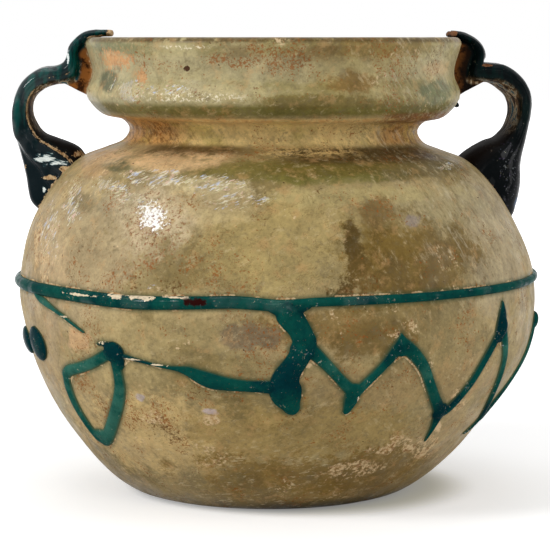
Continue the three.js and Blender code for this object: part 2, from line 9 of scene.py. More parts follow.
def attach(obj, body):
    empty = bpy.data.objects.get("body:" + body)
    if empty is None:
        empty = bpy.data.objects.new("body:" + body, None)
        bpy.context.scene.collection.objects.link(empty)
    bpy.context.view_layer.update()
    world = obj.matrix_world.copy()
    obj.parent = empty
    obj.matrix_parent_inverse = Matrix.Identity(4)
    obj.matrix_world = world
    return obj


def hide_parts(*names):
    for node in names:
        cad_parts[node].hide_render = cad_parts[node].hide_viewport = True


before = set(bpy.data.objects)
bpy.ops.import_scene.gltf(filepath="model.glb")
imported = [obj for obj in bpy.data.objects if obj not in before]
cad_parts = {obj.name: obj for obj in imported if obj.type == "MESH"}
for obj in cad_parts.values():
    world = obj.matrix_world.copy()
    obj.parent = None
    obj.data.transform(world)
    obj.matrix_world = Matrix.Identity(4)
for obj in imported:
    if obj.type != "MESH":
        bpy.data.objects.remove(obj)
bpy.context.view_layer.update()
print("frame loaded:", len(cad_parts), "pieces")

mm = 0.001  # pieces are shaped in millimetres and turned to metres when they are finished


def tone(red, green, blue):
    # a colour picked on screen, 0 to 255, as the shader wants it
    def linear(level):
        share = level / 255
        return share / 12.92 if share <= 0.04045 else ((share + 0.055) / 1.055) ** 2.4

    return (linear(red), linear(green), linear(blue), 1)


def smoothStep(x, low, high):
    t = min(1, max(0, (x - low) / (high - low)))
    return t * t * (3 - 2 * t)


def newObject(name, data):
    obj = bpy.data.objects.new(name, data)
    bpy.context.scene.collection.objects.link(obj)
    return obj


# camera, floor and lamps

photo = {
    "distance": 488 * mm,
    "eyeHeight": 92 * mm,
    "tiltDown": 5.67,  # degrees
    "lens": 156.8,
    "sensor": 36,
    "clip": (0.01, 20),
}

studio = {
    "floorSize": 6,
    "floorColor": 0.8,
    "floorShader": {"Roughness": 0.9, "Specular IOR Level": 0, "Emission Color": (1, 1, 1, 1)},
    "floorLift": 0.42,  # what the camera adds to the floor so that it reads as white paper
    "fadeStart": 0.12,  # from here the paper fades to plain white
    "fadeEnd": 0.5,
    "spillCentre": (7 * mm, 0, 0),
    "spillReach": (24 * mm, 36 * mm),
    "spillTone": tone(176, 170, 132),
    "worldLight": 0.44,
    "aim": (0, 0, 45 * mm),
    "lamps": [
        {"name": "keyLamp", "at": (-0.82, -0.5, 0.72), "size": (0.3, 0.38), "watts": 6},
        {"name": "fillLamp", "at": (0.95, -0.2, 0.4), "size": (0.25, 0.6), "watts": 2.2},
        {"name": "frontLamp", "at": (0.25, -1.1, 0.75), "size": (0.7, 0.5), "watts": 2.4},
        {"name": "topLamp", "at": (-0.1, 0.3, 1.1), "size": (0.8, 0.8), "watts": 2.6},
    ],
}


def makeCamera():
    data = bpy.data.cameras.new("photoCamera")
    data.lens = photo["lens"]
    data.sensor_width = photo["sensor"]
    data.clip_start, data.clip_end = photo["clip"]
    camera = newObject("photoCamera", data)
    camera.location = (0, -photo["distance"], photo["eyeHeight"])
    camera.rotation_euler = (math.radians(90 - photo["tiltDown"]), 0, 0)
    bpy.context.scene.camera = camera


def makeLamp(lamp):
    data = bpy.data.lights.new(lamp["name"], "AREA")
    data.shape = "RECTANGLE"
    data.size, data.size_y = lamp["size"]
    data.energy = lamp["watts"]
    obj = newObject(lamp["name"], data)
    obj.location = lamp["at"]
    aim = Vector(studio["aim"]) - Vector(lamp["at"])
    obj.rotation_euler = aim.to_track_quat("-Z", "Y").to_euler()


class Wiring:
    # short ways to add nodes to one tree; a value may be a number, a colour or another node's output
    def __init__(self, tree):
        self.tree = tree

    def feed(self, value, socket):
        if isinstance(value, bpy.types.NodeSocket):
            self.tree.links.new(value, socket)
        elif value is not None:
            socket.default_value = value

    def add(self, kind, inputs=None, **settings):
        node = self.tree.nodes.new("ShaderNode" + kind)
        for name, value in settings.items():
            setattr(node, name, value)
        for socket, value in (inputs or {}).items():
            self.feed(value, node.inputs[socket])
        return node.outputs

    def math(self, operation, first, *others):
        # the values are taken together from the left
        for other in others:
            first = self.add("Math", {0: first, 1: other}, operation=operation)[0]
        return first

    def times(self, *values):
        return self.math("MULTIPLY", *values)

    def plus(self, *values):
        return self.math("ADD", *values)

    def minus(self, *values):
        return self.math("SUBTRACT", *values)

    def most(self, *values):
        return self.math("MAXIMUM", *values)

    def apart(self, a, b):
        return self.add("Math", {0: self.minus(a, b)}, operation="ABSOLUTE")[0]

    def vector(self, operation, a, b=None):
        outputs = self.add("VectorMath", {0: a, 1: b}, operation=operation)
        return outputs["Value" if operation == "LENGTH" else "Vector"]

    def ramp(self, value, low, high, start=0.0, end=1.0):
        inputs = {"Value": value, "From Min": low, "From Max": high, "To Min": start, "To Max": end}
        return self.add("MapRange", inputs, interpolation_type="SMOOTHSTEP")[0]

    def band(self, value, low, high, soft):
        rising = self.ramp(value, low - soft, low + soft)
        return self.times(rising, self.ramp(value, high + soft, high - soft))

    def blend(self, share, a, b):
        return self.add("Mix", {0: share, 2: a, 3: b}, data_type="FLOAT")[0]

    def mix(self, share, a, b, kind="MIX"):
        return self.add("Mix", {0: share, 6: a, 7: b}, data_type="RGBA", blend_type=kind)[2]

    def layer(self, base, mask, shade, strength=1):
        return self.mix(mask if strength == 1 else self.times(mask, strength), base, shade)

    def shades(self, value, first, *steps):
        # one colour after another as the value climbs
        for low, high, shade in steps:
            first = self.mix(self.ramp(value, low, high), first, shade)
        return first

    def noise(self, place, size, detail=3, rough=0.5, distortion=0):
        # size is in millimetres
        inputs = {"Vector": place, "Scale": 1 / (size * mm), "Detail": detail}
        return self.add("TexNoise", {**inputs, "Roughness": rough, "Distortion": distortion})[0]

    def stretched(self, place, stretch, turn=0):
        # the pattern drawn out along the axes, then turned clockwise, in degrees, as seen from the front
        inputs = {"Vector": place, "Rotation": (0, math.radians(turn), 0), "Scale": stretch}
        return self.add("Mapping", inputs, vector_type="TEXTURE")[0]

    def bump(self, height, strength, distance):
        return self.add("Bump", {"Height": height, "Strength": strength, "Distance": distance * mm})[0]

    def group(self, tree, **values):
        return self.add("Group", values, node_tree=tree)

    def own(self, name):
        # a value that the mesh carries
        return self.add("Attribute", attribute_name=name)["Fac"]


def newMaterial(name, settings):
    # also gives its wiring, the shader's sockets and the place on the piece
    material = bpy.data.materials.new(name)
    material.use_nodes = True
    w = Wiring(material.node_tree)
    sockets = material.node_tree.nodes["Principled BSDF"].inputs
    for label, value in settings.items():
        sockets[label].default_value = value
    return material, w, sockets, w.add("TexCoord")["Object"]


def backgroundRays(w):
    # 1 where the camera, a mirror or clear glass looks at the background
    path = w.add("LightPath")
    return w.most(path["Is Camera Ray"], path["Is Transmission Ray"], path["Is Glossy Ray"])


def makeStudio():
    world = bpy.data.worlds.new("paleStudio")
    world.use_nodes = True
    bpy.context.scene.world = world
    w = Wiring(world.node_tree)
    background = world.node_tree.nodes["Background"].inputs
    background["Color"].default_value = (1, 1, 1, 1)
    w.feed(w.blend(backgroundRays(w), studio["worldLight"], 1), background["Strength"])

    mesh = bpy.data.meshes.new("floor")
    bm = bmesh.new()
    bmesh.ops.create_grid(bm, x_segments=1, y_segments=1, size=studio["floorSize"] / 2)
    bm.to_mesh(mesh)
    bm.free()
    material, w, sockets, place = newMaterial("floorPaper", studio["floorShader"])
    away = w.ramp(w.vector("LENGTH", place), studio["fadeStart"], studio["fadeEnd"], studio["floorLift"], 1)
    # green light that comes through the foot
    spill = w.vector("LENGTH", w.vector("SUBTRACT", place, studio["spillCentre"]))
    spill = w.ramp(spill, *reversed(studio["spillReach"]))
    level = studio["floorColor"]
    w.feed(w.mix(spill, (level, level, level, 1), studio["spillTone"]), sockets["Base Color"])
    lift = w.times(away, w.minus(1, w.times(spill, 0.5)))
    w.feed(w.times(backgroundRays(w), lift), sockets["Emission Strength"])
    mesh.materials.append(material)
    floor = newObject("floor", mesh)
    for lamp in studio["lamps"]:
        makeLamp(lamp)
    bpy.context.scene.view_settings.view_transform = "Standard"


makeCamera()
makeStudio()
print("camera, floor and lamps")


# effects that several glasses share

# sockets that aren't plain numbers
socketKinds = {"Place": "Vector", "Centre": "Vector", "Size": "Vector", "Color": "Color"}


def newGroup(name, inputs, outputs):
    tree = bpy.data.node_groups.new(name, "ShaderNodeTree")
    for side, labels in (("INPUT", inputs), ("OUTPUT", outputs)):
        for label in labels:
            kind = "NodeSocket" + socketKinds.get(label, "Float")
            tree.interface.new_socket(name=label, in_out=side, socket_type=kind)
    given = tree.nodes.new("NodeGroupInput").outputs
    return Wiring(tree), given, tree.nodes.new("NodeGroupOutput").inputs


def makeBlotch():
    # a patch round a point; the ragged value, a noise about 0, eats into its edge
    w, given, out = newGroup("blotch", ["Place", "Centre", "Size", "Ragged"], ["Mask"])
    away = w.vector("SUBTRACT", given["Place"], given["Centre"])
    reach = w.vector("LENGTH", w.vector("DIVIDE", away, given["Size"]))
    w.feed(w.ramp(w.plus(reach, given["Ragged"]), 1.25, 0.65), out["Mask"])
    return w.tree


def makeGrain():
    # the unevenness of old glass: a colour made darker and lighter in clouds and in fine grain
    w, given, out = newGroup("grain", ["Place", "Color", "Clouds", "Fine"], ["Color"])
    clouds = w.minus(w.noise(given["Place"], 5.5, 6, 0.68, 0.4), 0.5)
    fine = w.minus(w.noise(given["Place"], 0.8, 3, 0.75), 0.5)
    level = w.plus(w.times(clouds, given["Clouds"]), w.times(fine, given["Fine"]), 1)
    w.feed(w.mix(1, given["Color"], level, "MULTIPLY"), out["Color"])
    return w.tree


def letThrough(w, amount, fine, broad, share):
    # above 0 where the amount and the two noises are high enough together
    return w.minus(w.plus(amount, w.plus(w.times(fine, share), w.times(broad, 1 - share))), 1)


def makeSoil():
    # burial soil: peach dust to brown crust, with its own grain
    w, given, out = newGroup("soil", ["Place", "Amount"], ["Color", "Mask", "Height"])
    place = given["Place"]
    fine = w.noise(place, 0.75, 3, 0.7)
    level = letThrough(w, given["Amount"], fine, w.noise(place, 3, 4, 0.6), 0.4)
    w.feed(w.ramp(level, -0.04, 0.07), out["Mask"])
    dust = w.mix(w.ramp(fine, 0.38, 0.62), tone(184, 144, 98), tone(222, 196, 154))
    crust = w.ramp(w.noise(place, 1.7, 3, 0.6), 0.54, 0.68)
    w.feed(w.mix(crust, dust, tone(126, 78, 40)), out["Color"])
    w.feed(w.times(fine, w.ramp(level, -0.04, 0.2)), out["Height"])
    return w.tree


def makeFilm():
    # weathering film that flakes off in slivers and shows pastel colours
    w, given, out = newGroup("film", ["Place", "Amount"], ["Color", "Mask", "Height"])
    place = given["Place"]
    flakes = w.noise(place, 0.72, 4, 0.75, 0.5)
    level = letThrough(w, given["Amount"], flakes, w.noise(place, 4, 3, 0.6), 0.78)
    w.feed(w.ramp(level, -0.02, 0.05), out["Mask"])
    cream, green, pink = tone(240, 230, 206), tone(208, 206, 158), tone(232, 196, 178)
    hue = w.noise(place, 1.3, 2, 0.5, 1)
    pastel = w.shades(hue, tone(198, 208, 232), (0.4, 0.45, cream), (0.5, 0.53, green), (0.56, 0.59, pink))
    w.feed(pastel, out["Color"])
    w.feed(w.times(flakes, w.ramp(level, -0.02, 0.1)), out["Height"])
    return w.tree


def makeFlecks():
    # small worm-like specks, thicker on the ground where the amount is higher
    w, given, out = newGroup("flecks", ["Place", "Amount", "Fineness"], ["Mask"])
    inputs = {"Vector": given["Place"], "Scale": given["Fineness"], "Detail": 4, "Distortion": 0.2}
    level = w.plus(w.add("TexNoise", inputs)[0], w.times(given["Amount"], 0.3))
    w.feed(w.ramp(level, 0.76, 0.81), out["Mask"])
    return w.tree


blotchGroup = makeBlotch()
grainGroup = makeGrain()
soilGroup = makeSoil()
filmGroup = makeFilm()
flecksGroup = makeFlecks()
print("shared effects")


def blotch(w, place, centre, size, ragged):
    # a patch with its centre and half sizes in millimetres
    centre, size = Vector(centre) * mm, Vector(size) * mm
    return w.group(blotchGroup, Place=place, Centre=centre, Size=size, Ragged=ragged)["Mask"]


# the jar's outline, the same one that the frame was built on

jar = {
    "rimHeight": 92,
    "lipRadius": 38,
    "collarRadius": 37.9,
    "collarWaist": 36.6,
    "neckRadius": 29.2,
    "neckHeight": 73.3,
    "bodyRadius": 52.4,
    "girthHeight": 40.5,
    "footRadius": 25.6,
    "restInner": 17,
    "kick": 3.2,
    "pontilRadius": 6.5,
    "pontilRidge": 0.45,
    "bodyWall": 2,
    "collarWall": 2.6,
    "floorWall": 3,
    "floorReach": 8,  # the thick floor thins out up to this height
    "neckReach": 5,  # the wall changes over this far below and above the neck
    "collarTilt": 0.56,
    "tiltReach": 9,
    "bulgeUp": 0.41,
    "waistUp": 0.61,
    # shares of the way out and up, from foot to girth, from girth to neck and from neck to bulge
    "lowerForm": [
        (0, 0), (0.115, 0.025), (0.32, 0.123), (0.555, 0.296), (0.826, 0.568), (0.937, 0.74), (1, 1),
    ],
    "upperForm": [
        (0.935, 0.29), (0.762, 0.564), (0.545, 0.762), (0.41, 0.832), (0.215, 0.884), (0.05, 0.935), (0, 1),
    ],
    "collarForm": [(0.15, 0.1), (0.62, 0.16), (0.93, 0.305)],
    "sway": [(0, -1.2), (0.13, -0.5), (0.34, 0.8), (0.48, 0.4), (0.62, -0.4), (1, -0.3)],
    "aroundSteps": 400,
    "outerSpacing": 0.8,
    "innerSpacing": 3,
    "innerDepths": (0.8, 1.6),  # from this deep under the outside a point counts as inside
    "farFromTrails": 9,
    "ripple": 0.13,  # how far the blown wall wanders from a true round
    "rippleSize": 17,
    "still": (1, 9),  # below the first height the foot doesn't wander, above the second it does fully
}


def alongTable(table, x):
    # a smooth step through a short table of (place, value)
    for (x0, y0), (x1, y1) in zip(table, table[1:]):
        if x < x1:
            return y0 + (y1 - y0) * smoothStep(x, x0, x1)
    return table[-1][1]


def smoothRun(points, perSpan):
    # centripetal curve through a few given points
    rows = [Vector(p) for p in points]
    rows = [rows[0] * 2 - rows[1]] + rows + [rows[-1] * 2 - rows[-2]]
    run = []
    for a, b, c, d in zip(rows, rows[1:], rows[2:], rows[3:]):
        t0 = 0
        t1 = t0 + max(1e-6, (b - a).length) ** 0.5
        t2 = t1 + max(1e-6, (c - b).length) ** 0.5
        t3 = t2 + max(1e-6, (d - c).length) ** 0.5
        for k in range(perSpan):
            t = t1 + (t2 - t1) * k / perSpan
            ab = a.lerp(b, (t - t0) / (t1 - t0))
            bc = b.lerp(c, (t - t1) / (t2 - t1))
            cd = c.lerp(d, (t - t2) / (t3 - t2))
            abc = ab.lerp(bc, (t - t0) / (t2 - t0))
            bcd = bc.lerp(cd, (t - t1) / (t3 - t1))
            run.append(abc.lerp(bcd, (t - t1) / (t2 - t1)))
    run.append(rows[-2].copy())
    return run


def evenRun(points, spacing):
    # the same polyline with its points at even distances
    length = sum((b - a).length for a, b in zip(points, points[1:]))
    count = max(2, round(length / spacing))
    step = length / count
    run = [points[0].copy()]
    gone, goal = 0, step
    for a, b in zip(points, points[1:]):
        span = (b - a).length
        while span and goal <= gone + span + 1e-9 and len(run) < count:
            run.append(a.lerp(b, (goal - gone) / span))
            goal += step
        gone += span
    run.append(points[-1].copy())
    return run


def onCollar(share):
    # a height on the collar, from the neck (0) to the rim (1)
    return jar["neckHeight"] + share * (jar["rimHeight"] - jar["neckHeight"])


def outerPoints():
    # (radius, height) points up the outside of the jar, foot to lip
    foot, body, neck = jar["footRadius"], jar["bodyRadius"], jar["neckRadius"]
    girth, fold = jar["girthHeight"], jar["neckHeight"]
    points = [(foot + out * (body - foot), up * girth) for out, up in jar["lowerForm"]]
    points += [(neck + out * (body - neck), girth + up * (fold - girth)) for out, up in jar["upperForm"]]
    points += [(neck + out * (jar["collarRadius"] - neck), onCollar(up)) for out, up in jar["collarForm"]]
    points.append((jar["collarRadius"], onCollar(jar["bulgeUp"])))
    points.append((jar["collarWaist"], onCollar(jar["waistUp"])))
    points.append((jar["lipRadius"], jar["rimHeight"] - jar["collarWall"] / 2))
    return smoothRun(points, 12)


outline = outerPoints()


def radiusAt(height):
    # the jar's outer radius; the outline climbs all the way
    low, high = 0, len(outline) - 1
    while high - low > 1:
        middle = (low + high) // 2
        if outline[middle].y > height:
            high = middle
        else:
            low = middle
    a, b = outline[low], outline[high]
    share = min(1, max(0, (height - a.y) / (b.y - a.y)))
    return a.x + (b.x - a.x) * share


def steepAt(height):
    # the outline's slope there, and the length of a step along it
    slope = (radiusAt(height + 0.2) - radiusAt(height - 0.2)) / 0.4
    return slope, math.hypot(1, slope)


def wallAt(height):
    body, neck, reach = jar["bodyWall"], jar["neckHeight"], jar["neckReach"]
    low, high = smoothStep(height, 0, jar["floorReach"]), smoothStep(height, neck - reach, neck + reach)
    return jar["floorWall"] + (body - jar["floorWall"]) * low + (jar["collarWall"] - body) * high


def kickAt(radius):
    return jar["kick"] * math.cos(min(1, radius / jar["restInner"]) * math.pi / 2) ** 2


def sag(point):
    # how far the hot jar moved at a point
    nearNeck = math.exp(-(((point.z - jar["neckHeight"]) / jar["tiltReach"]) ** 2))
    side = point.x / jar["bodyRadius"]
    drop = jar["collarTilt"] * side * nearNeck
    return Vector((alongTable(jar["sway"], point.z / jar["rimHeight"]), 0, -drop))


def onJar(azimuth, height, lift=0):
    # a point on the outside of the jar in millimetres, round from the front towards the right
    slope, steep = steepAt(height)
    radius = radiusAt(height) + lift / steep
    angle = math.radians(azimuth)
    point = Vector((radius * math.sin(angle), -radius * math.cos(angle), height - lift * slope / steep))
    return point + sag(point)


def riseOverJar(point):
    # how far a settled point stands above the jar's glass, and the way out
    loose = point - sag(point)
    lip = jar["collarWall"] / 2
    flat = math.hypot(loose.x, loose.y)
    away = Vector((loose.x, loose.y, 0)) / max(flat, 1e-6)
    if loose.z > jar["rimHeight"] - lip:
        corner = away * (jar["lipRadius"] - lip) + Vector((0, 0, jar["rimHeight"] - lip))
        out = loose - corner
        return out.length - lip, out.normalized()
    slope, steep = steepAt(loose.z)
    return (flat - radiusAt(loose.z)) / steep, (away - Vector((0, 0, slope))) / steep


def rippled(point):
    # the same wander of the wall for the jar and for all that is laid on it
    free = smoothStep(point.z, *jar["still"])
    wander = noise.noise(point / jar["rippleSize"]) + 0.4 * noise.noise(point / jar["rippleSize"] * 2.7)
    away = Vector((point.x, point.y, 0))
    if away.length < 1:
        return point
    return point + away.normalized() * jar["ripple"] * free * wander


def seatOnJar(bm, depth):
    # whatever reaches deeper into the glass than this is pressed flat there
    for vert in bm.verts:
        rise, out = riseOverJar(vert.co)
        hollow = vert.co.z > jar["neckHeight"] and rise < -wallAt(vert.co.z)
        if rise < -depth and not hollow:
            vert.co += out * (-depth - rise)


def nearestOf(places):
    # a search tree over points
    tree = kdtree.KDTree(len(places))
    for i, point in enumerate(places):
        tree.insert(point, i)
    tree.balance()
    return tree


def finishPiece(name, bm, material, node, values):
    # a bmesh in millimetres becomes a piece in metres; values are kept on its points
    bmesh.ops.scale(bm, vec=(mm, mm, mm), verts=bm.verts)
    for face in bm.faces:
        face.smooth = True
    mesh = bpy.data.meshes.new(name)
    bm.to_mesh(mesh)
    bm.free()
    for label, numbers in values.items():
        mesh.attributes.new(label, "FLOAT", "POINT").data.foreach_set("value", numbers)
    mesh.materials.append(material)
    piece = newObject(name, mesh)
    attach(piece, "root")
    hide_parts(node)
    print(name, len(mesh.polygons), "faces")


def sweep(bm, rings, closed=False):
    # a closed skin: the first ring is extruded from station to station
    order = bm.verts.layers.int.get("order") or bm.verts.layers.int.new("order")
    count = len(rings[0])
    first = [bm.verts.new(p) for p in rings[0]]
    for k, vert in enumerate(first):
        vert[order] = k
    edges = [bm.edges.new((first[k], first[(k + 1) % count])) for k in range(count)]
    start = edges
    if not closed:
        bmesh.ops.contextual_create(bm, geom=edges)
    for ring in rings[1:]:
        made = bmesh.ops.extrude_edge_only(bm, edges=edges)["geom"]
        for vert in made:
            if isinstance(vert, bmesh.types.BMVert):
                vert.co = ring[vert[order]]
        edges = [e for e in made if isinstance(e, bmesh.types.BMEdge)]
        edges = [e for e in edges if e.verts[0][order] != e.verts[1][order]]
    if closed:
        bmesh.ops.bridge_loops(bm, edges=start + edges)
    else:
        bmesh.ops.contextual_create(bm, geom=edges)


def melt(bm, voxel, smoothing):
    # touching rods of glass run together into one skin
    mesh = bpy.data.meshes.new("melting")
    bmesh.ops.recalc_face_normals(bm, faces=bm.faces)
    bm.to_mesh(mesh)
    bm.free()
    lump = newObject("melting", mesh)
    skin = lump.modifiers.new("melt", "REMESH")
    skin.mode = "VOXEL"
    skin.voxel_size = voxel
    melted = bpy.data.meshes.new_from_object(lump.evaluated_get(bpy.context.evaluated_depsgraph_get()))
    bpy.data.objects.remove(lump)
    bm = bmesh.new()
    bm.from_mesh(melted)
    axes = {"use_axis_x": True, "use_axis_y": True, "use_axis_z": True}
    for _ in range(smoothing):
        bmesh.ops.smooth_vert(bm, verts=bm.verts, factor=0.5, **axes)
    return bm


# the strap handles

strap = {
    "width": 11,
    "fullness": 1.13,
    "padHeight": 62,
    "ribs": 3,
    "ribDepth": 0.4,
    "sideGroove": 0.35,  # the groove along each side of the strap
    "webWidth": 6.5,
    "webSink": 1.2,
    "webStart": 8.2,
    "webEnd": 13.3,
    "webFootUp": 0.34,
    "sides": 56,
    "perSpan": 8,
    "boxiness": 0.7,  # below 1 the section's corners fill out
    "grooveAt": (-0.25, 0.16),  # where the side groove lies through the strap, and how wide it is
    "padPart": 0.3,  # share of the length over which it is spread out to the pad
    "foldPart": 0.9,  # from here to its end the strap narrows
    "foldNarrowing": 0.22,
    "sunk": 0.5,
    "voxel": 0.24,
    "smoothing": 3,
    "wobble": 0.16,
    "bumpSizes": (5, 1.8),
    "shader": {"IOR": 1.52, "Specular IOR Level": 0.03, "Coat Roughness": 0.07},
    "pad": tone(3, 7, 9),
    # the left pad is painted a lighter teal than the right one: painted light from the left
    "leftPad": tone(3, 20, 25),
    "teal": tone(3, 32, 34),
    "brightTeal": tone(2, 74, 68),
    "amber": tone(158, 98, 46),
    "darkAmber": tone(58, 32, 14),
    # soil on the folds, the pads and the bends: middle and half sizes in mm
    "deposits": [
        (-45.4, -7, 63.8, 1.9, 6, 0.6),
        (-42.4, -7, 65.7, 1.9, 6, 0.6),
        (-38.6, -7, 68.6, 2.6, 9, 1.1),
        (35.8, 0, 92.8, 1.4, 9, 0.9),
        (-33, -2, 92.9, 1.3, 8, 1.2),
        (-50.6, -5, 65.8, 0.5, 6, 0.9),
        (43.2, 2, 86.3, 1.2, 8, 0.4),
        (-35.8, -4, 92, 2.6, 4, 0.5),
    ],
    # painted highlights: white patches where the pad turns up to the light, and a thin one on the left strap
    "paintedHighlights": [
        (-46.5, -7, 67.7, 2, 9, 0.9),
        (-44, -7, 66.7, 2.2, 9, 0.55),
        (-46.8, -7, 61.2, 0.35, 9, 0.8),
        (-41.6, -7, 88, 0.3, 9, 1.6),
    ],
    "glints": (48, -1, 64.5, 3, 14, 7.5),
    "blueTip": (49.5, 2, 58.2, 1, 16, 1.5),
    "glossyBend": (-51, -4, 84, 7, 9, 5),
}

leftStrap = {
    "azimuth": -90,
    "toe": 0.3,
    "roll": 0,
    "spread": 0.25,
    "swing": 0,
    "loop": [
        (0.84, -7.4, 1.3, -1.1),
        (0.6, -2, 1.2, 3.1),
        (0.57, 2.4, 1.01, 5.7),
        (0.55, 6, 0.82, 8.4),
        (0.46, 8.5, 0.64, 11.1),
        (0.35, 9.8, 0.44, 13),
        (0.23, 10, 0.23, 13.4),
        (0.12, 8.8, 0.07, 12.5),
        (0.03, 6.7, -0.07, 10.2),
        (-0.02, 4.7, -0.14, 7.5),
    ],
    "fold": [
        (2.2, -8, 4.6, -5),
        (1.5, -5.5, 3.9, -3.7),
        (1.8, -3.2, 3.6, -2.1),
        (0.6, -1.6, 2, -0.1),
        (-0.8, -0.6, -0.2, 1.3),
        (-2.5, 0.1, -2.8, 1.5),
        (-5, 0.2, -5, 1.4),
    ],
    # how much soil sits in the grooves, from the pad (0) to the end of the fold (1)
    "soilAlong": [(0, 0.1), (0.16, 0.1), (0.42, 0.1), (0.5, 0.95), (0.6, 0.85), (0.68, 0.3), (1, 0.8)],
}

rightStrap = {
    "azimuth": 98,
    "toe": 0,
    "roll": -0.1,
    "spread": 0.6,
    "swing": -3.5,
    "loop": [
        (0.9, -9.4, 1.4, -1.3),
        (0.66, -4.4, 1.26, 1.6),
        (0.59, 1.4, 1.08, 4.3),
        (0.58, 4.4, 0.86, 6.5),
        (0.5, 7.4, 0.65, 9.5),
        (0.38, 9.4, 0.43, 12.2),
        (0.25, 9.9, 0.24, 13.1),
        (0.13, 8.9, 0.06, 12.3),
        (0.03, 7.3, -0.1, 10.1),
        (-0.02, 5.1, -0.16, 7.8),
    ],
    "fold": [
        (1.6, -8.4, 4.3, -5),
        (1.9, -5.4, 4.9, -4.1),
        (2.6, -3.1, 4.6, -2.3),
        (1.6, -1.4, 3.2, -0.4),
        (0.2, -0.8, 1, 0.8),
        (-0.9, -0.2, -0.6, 1.2),
        (-2, 0.1, -1.8, 1.3),
    ],
    "soilAlong": [(0, 0.3), (0.08, 0.15), (0.5, 0.1), (0.8, 0.3), (1, 0.7)],
}


def strapEdge(form, side):
    # one edge of the strap's side view as (radius, height) points
    collar = Vector((jar["collarRadius"], onCollar(jar["bulgeUp"])))
    pad = Vector((radiusAt(strap["padHeight"]), strap["padHeight"]))
    chord = pad - collar
    out = Vector((-chord.y, chord.x)).normalized()
    lip = Vector((jar["lipRadius"], jar["rimHeight"]))
    points = [collar + chord * row[side] + out * row[side + 1] for row in form["loop"]]
    points += [lip + Vector((row[side], row[side + 1])) for row in form["fold"]]
    return smoothRun(points, strap["perSpan"])


def strapRing(inner, outer, width, toe, roll, swing):
    # flat inside, ribbed outside, grooved along the sides: (radius, height, side, soil) for each point
    middle = (inner + outer) / 2
    half = (outer - inner) * strap["fullness"] / 2
    ring = []
    for k in range(strap["sides"]):
        angle = -k * 2 * math.pi / strap["sides"]
        across = math.copysign(abs(math.cos(angle)) ** strap["boxiness"], math.cos(angle))
        through = math.copysign(abs(math.sin(angle)) ** strap["boxiness"], math.sin(angle))
        groove = 0
        if through > 0:
            rib = (1 - math.cos(strap["ribs"] * math.pi * (across + 1))) / 2
            through -= through * (1 - rib) * min(0.5, strap["ribDepth"] / half.length)
            groove = (1 - rib) * smoothStep(through, 0.3, 0.8) * (1 - smoothStep(abs(across), 0.75, 0.95))
            aside = smoothStep(abs(across), 0.3, 0.55) * smoothStep(toe, 0, 0.06)
            through += (through * 2 * (1 - toe) - 1 - through) * aside
        at, reach = strap["grooveAt"]
        notch = math.exp(-(((through - at) / reach) ** 2)) * smoothStep(abs(across), 0.7, 0.95)
        side = across * width / 2 - math.copysign(strap["sideGroove"] * notch, across)
        point = middle + half * through
        inside = smoothStep(-through, 0.45, 0.9)
        ring.append((point.x + roll * side, point.y, side + swing, max(notch, groove), inside))
    return ring


def makeHandle(name, form, material, node):
    angle = math.radians(form["azimuth"])
    around = Vector((math.cos(angle), math.sin(angle), 0))
    away = Vector((math.sin(angle), -math.cos(angle), 0))

    def place(radius, height, side):
        return away * radius + around * side + Vector((0, 0, height))

    inner, outer = strapEdge(form, 0), strapEdge(form, 2)
    last = len(inner) - 1
    rings, stations = [], []
    for i in range(last + 1):
        t = i / last
        low = 1 - smoothStep(t, 0, strap["padPart"])
        narrow = strap["foldNarrowing"] * smoothStep(t, strap["foldPart"], 1)
        width = strap["width"] * (1 + form["spread"] * low) * (1 - narrow)
        toe = form["toe"] * (1 - smoothStep(t, 0.1, 0.26))
        roll = form["roll"] * math.sin(math.pi * smoothStep(t, 0.15, 0.75))
        ring = strapRing(inner[i], outer[i], width, toe, roll, form["swing"] * low)
        rings.append([place(*point[:3]) for point in ring])
        dirt = alongTable(form["soilAlong"], t)
        stations += [(place(*point[:3]), point[3] * dirt, point[4]) for point in ring]
    bm = bmesh.new()
    sweep(bm, rings)

    # the narrower web that ties the strap to the collar
    foot, sunk = onCollar(strap["webFootUp"]), strap["webSink"]
    first, end = (round(strap[key] * strap["perSpan"]) for key in ("webStart", "webEnd"))
    shape = [inner[i].lerp(outer[i], 0.3) for i in range(first, end + 1, 4)]
    shape.append(Vector((jar["lipRadius"] - sunk, jar["rimHeight"] - jar["collarWall"] / 2)))
    shape.append(Vector((jar["collarWaist"] - sunk, onCollar(jar["waistUp"]))))
    shape.append(Vector((radiusAt(foot) - sunk, foot)))
    half = strap["webWidth"] / 2
    face = bm.faces.new([bm.verts.new(place(p.x, p.y, -half)) for p in shape])
    made = bmesh.ops.extrude_face_region(bm, geom=[face], use_keep_orig=True)["geom"]
    moved = [v for v in made if isinstance(v, bmesh.types.BMVert)]
    bmesh.ops.translate(bm, vec=around * 2 * half, verts=moved)

    bm = melt(bm, strap["voxel"], strap["smoothing"])
    seatOnJar(bm, strap["sunk"])
    tree = nearestOf([station[0] for station in stations])
    soil, inside, web, rise = [], [], [], []
    for vert in bm.verts:
        _, nearest, gap = tree.find(vert.co)
        lift, out = riseOverJar(vert.co)
        soil.append(stations[nearest][1])
        inside.append(stations[nearest][2])
        web.append(smoothStep(gap, 0.3, 0.9) * smoothStep(vert.co.z, 72, 74))
        rise.append(lift)
        large, small = strap["bumpSizes"]
        bumps = noise.noise(vert.co / large) + 0.5 * noise.noise(vert.co / small)
        vert.co = rippled(vert.co + out * strap["wobble"] * bumps * smoothStep(lift, 0, 1))
    values = {"soil": soil, "inside": inside, "web": web, "rise": rise}
    finishPiece(name, bm, material, node, values)


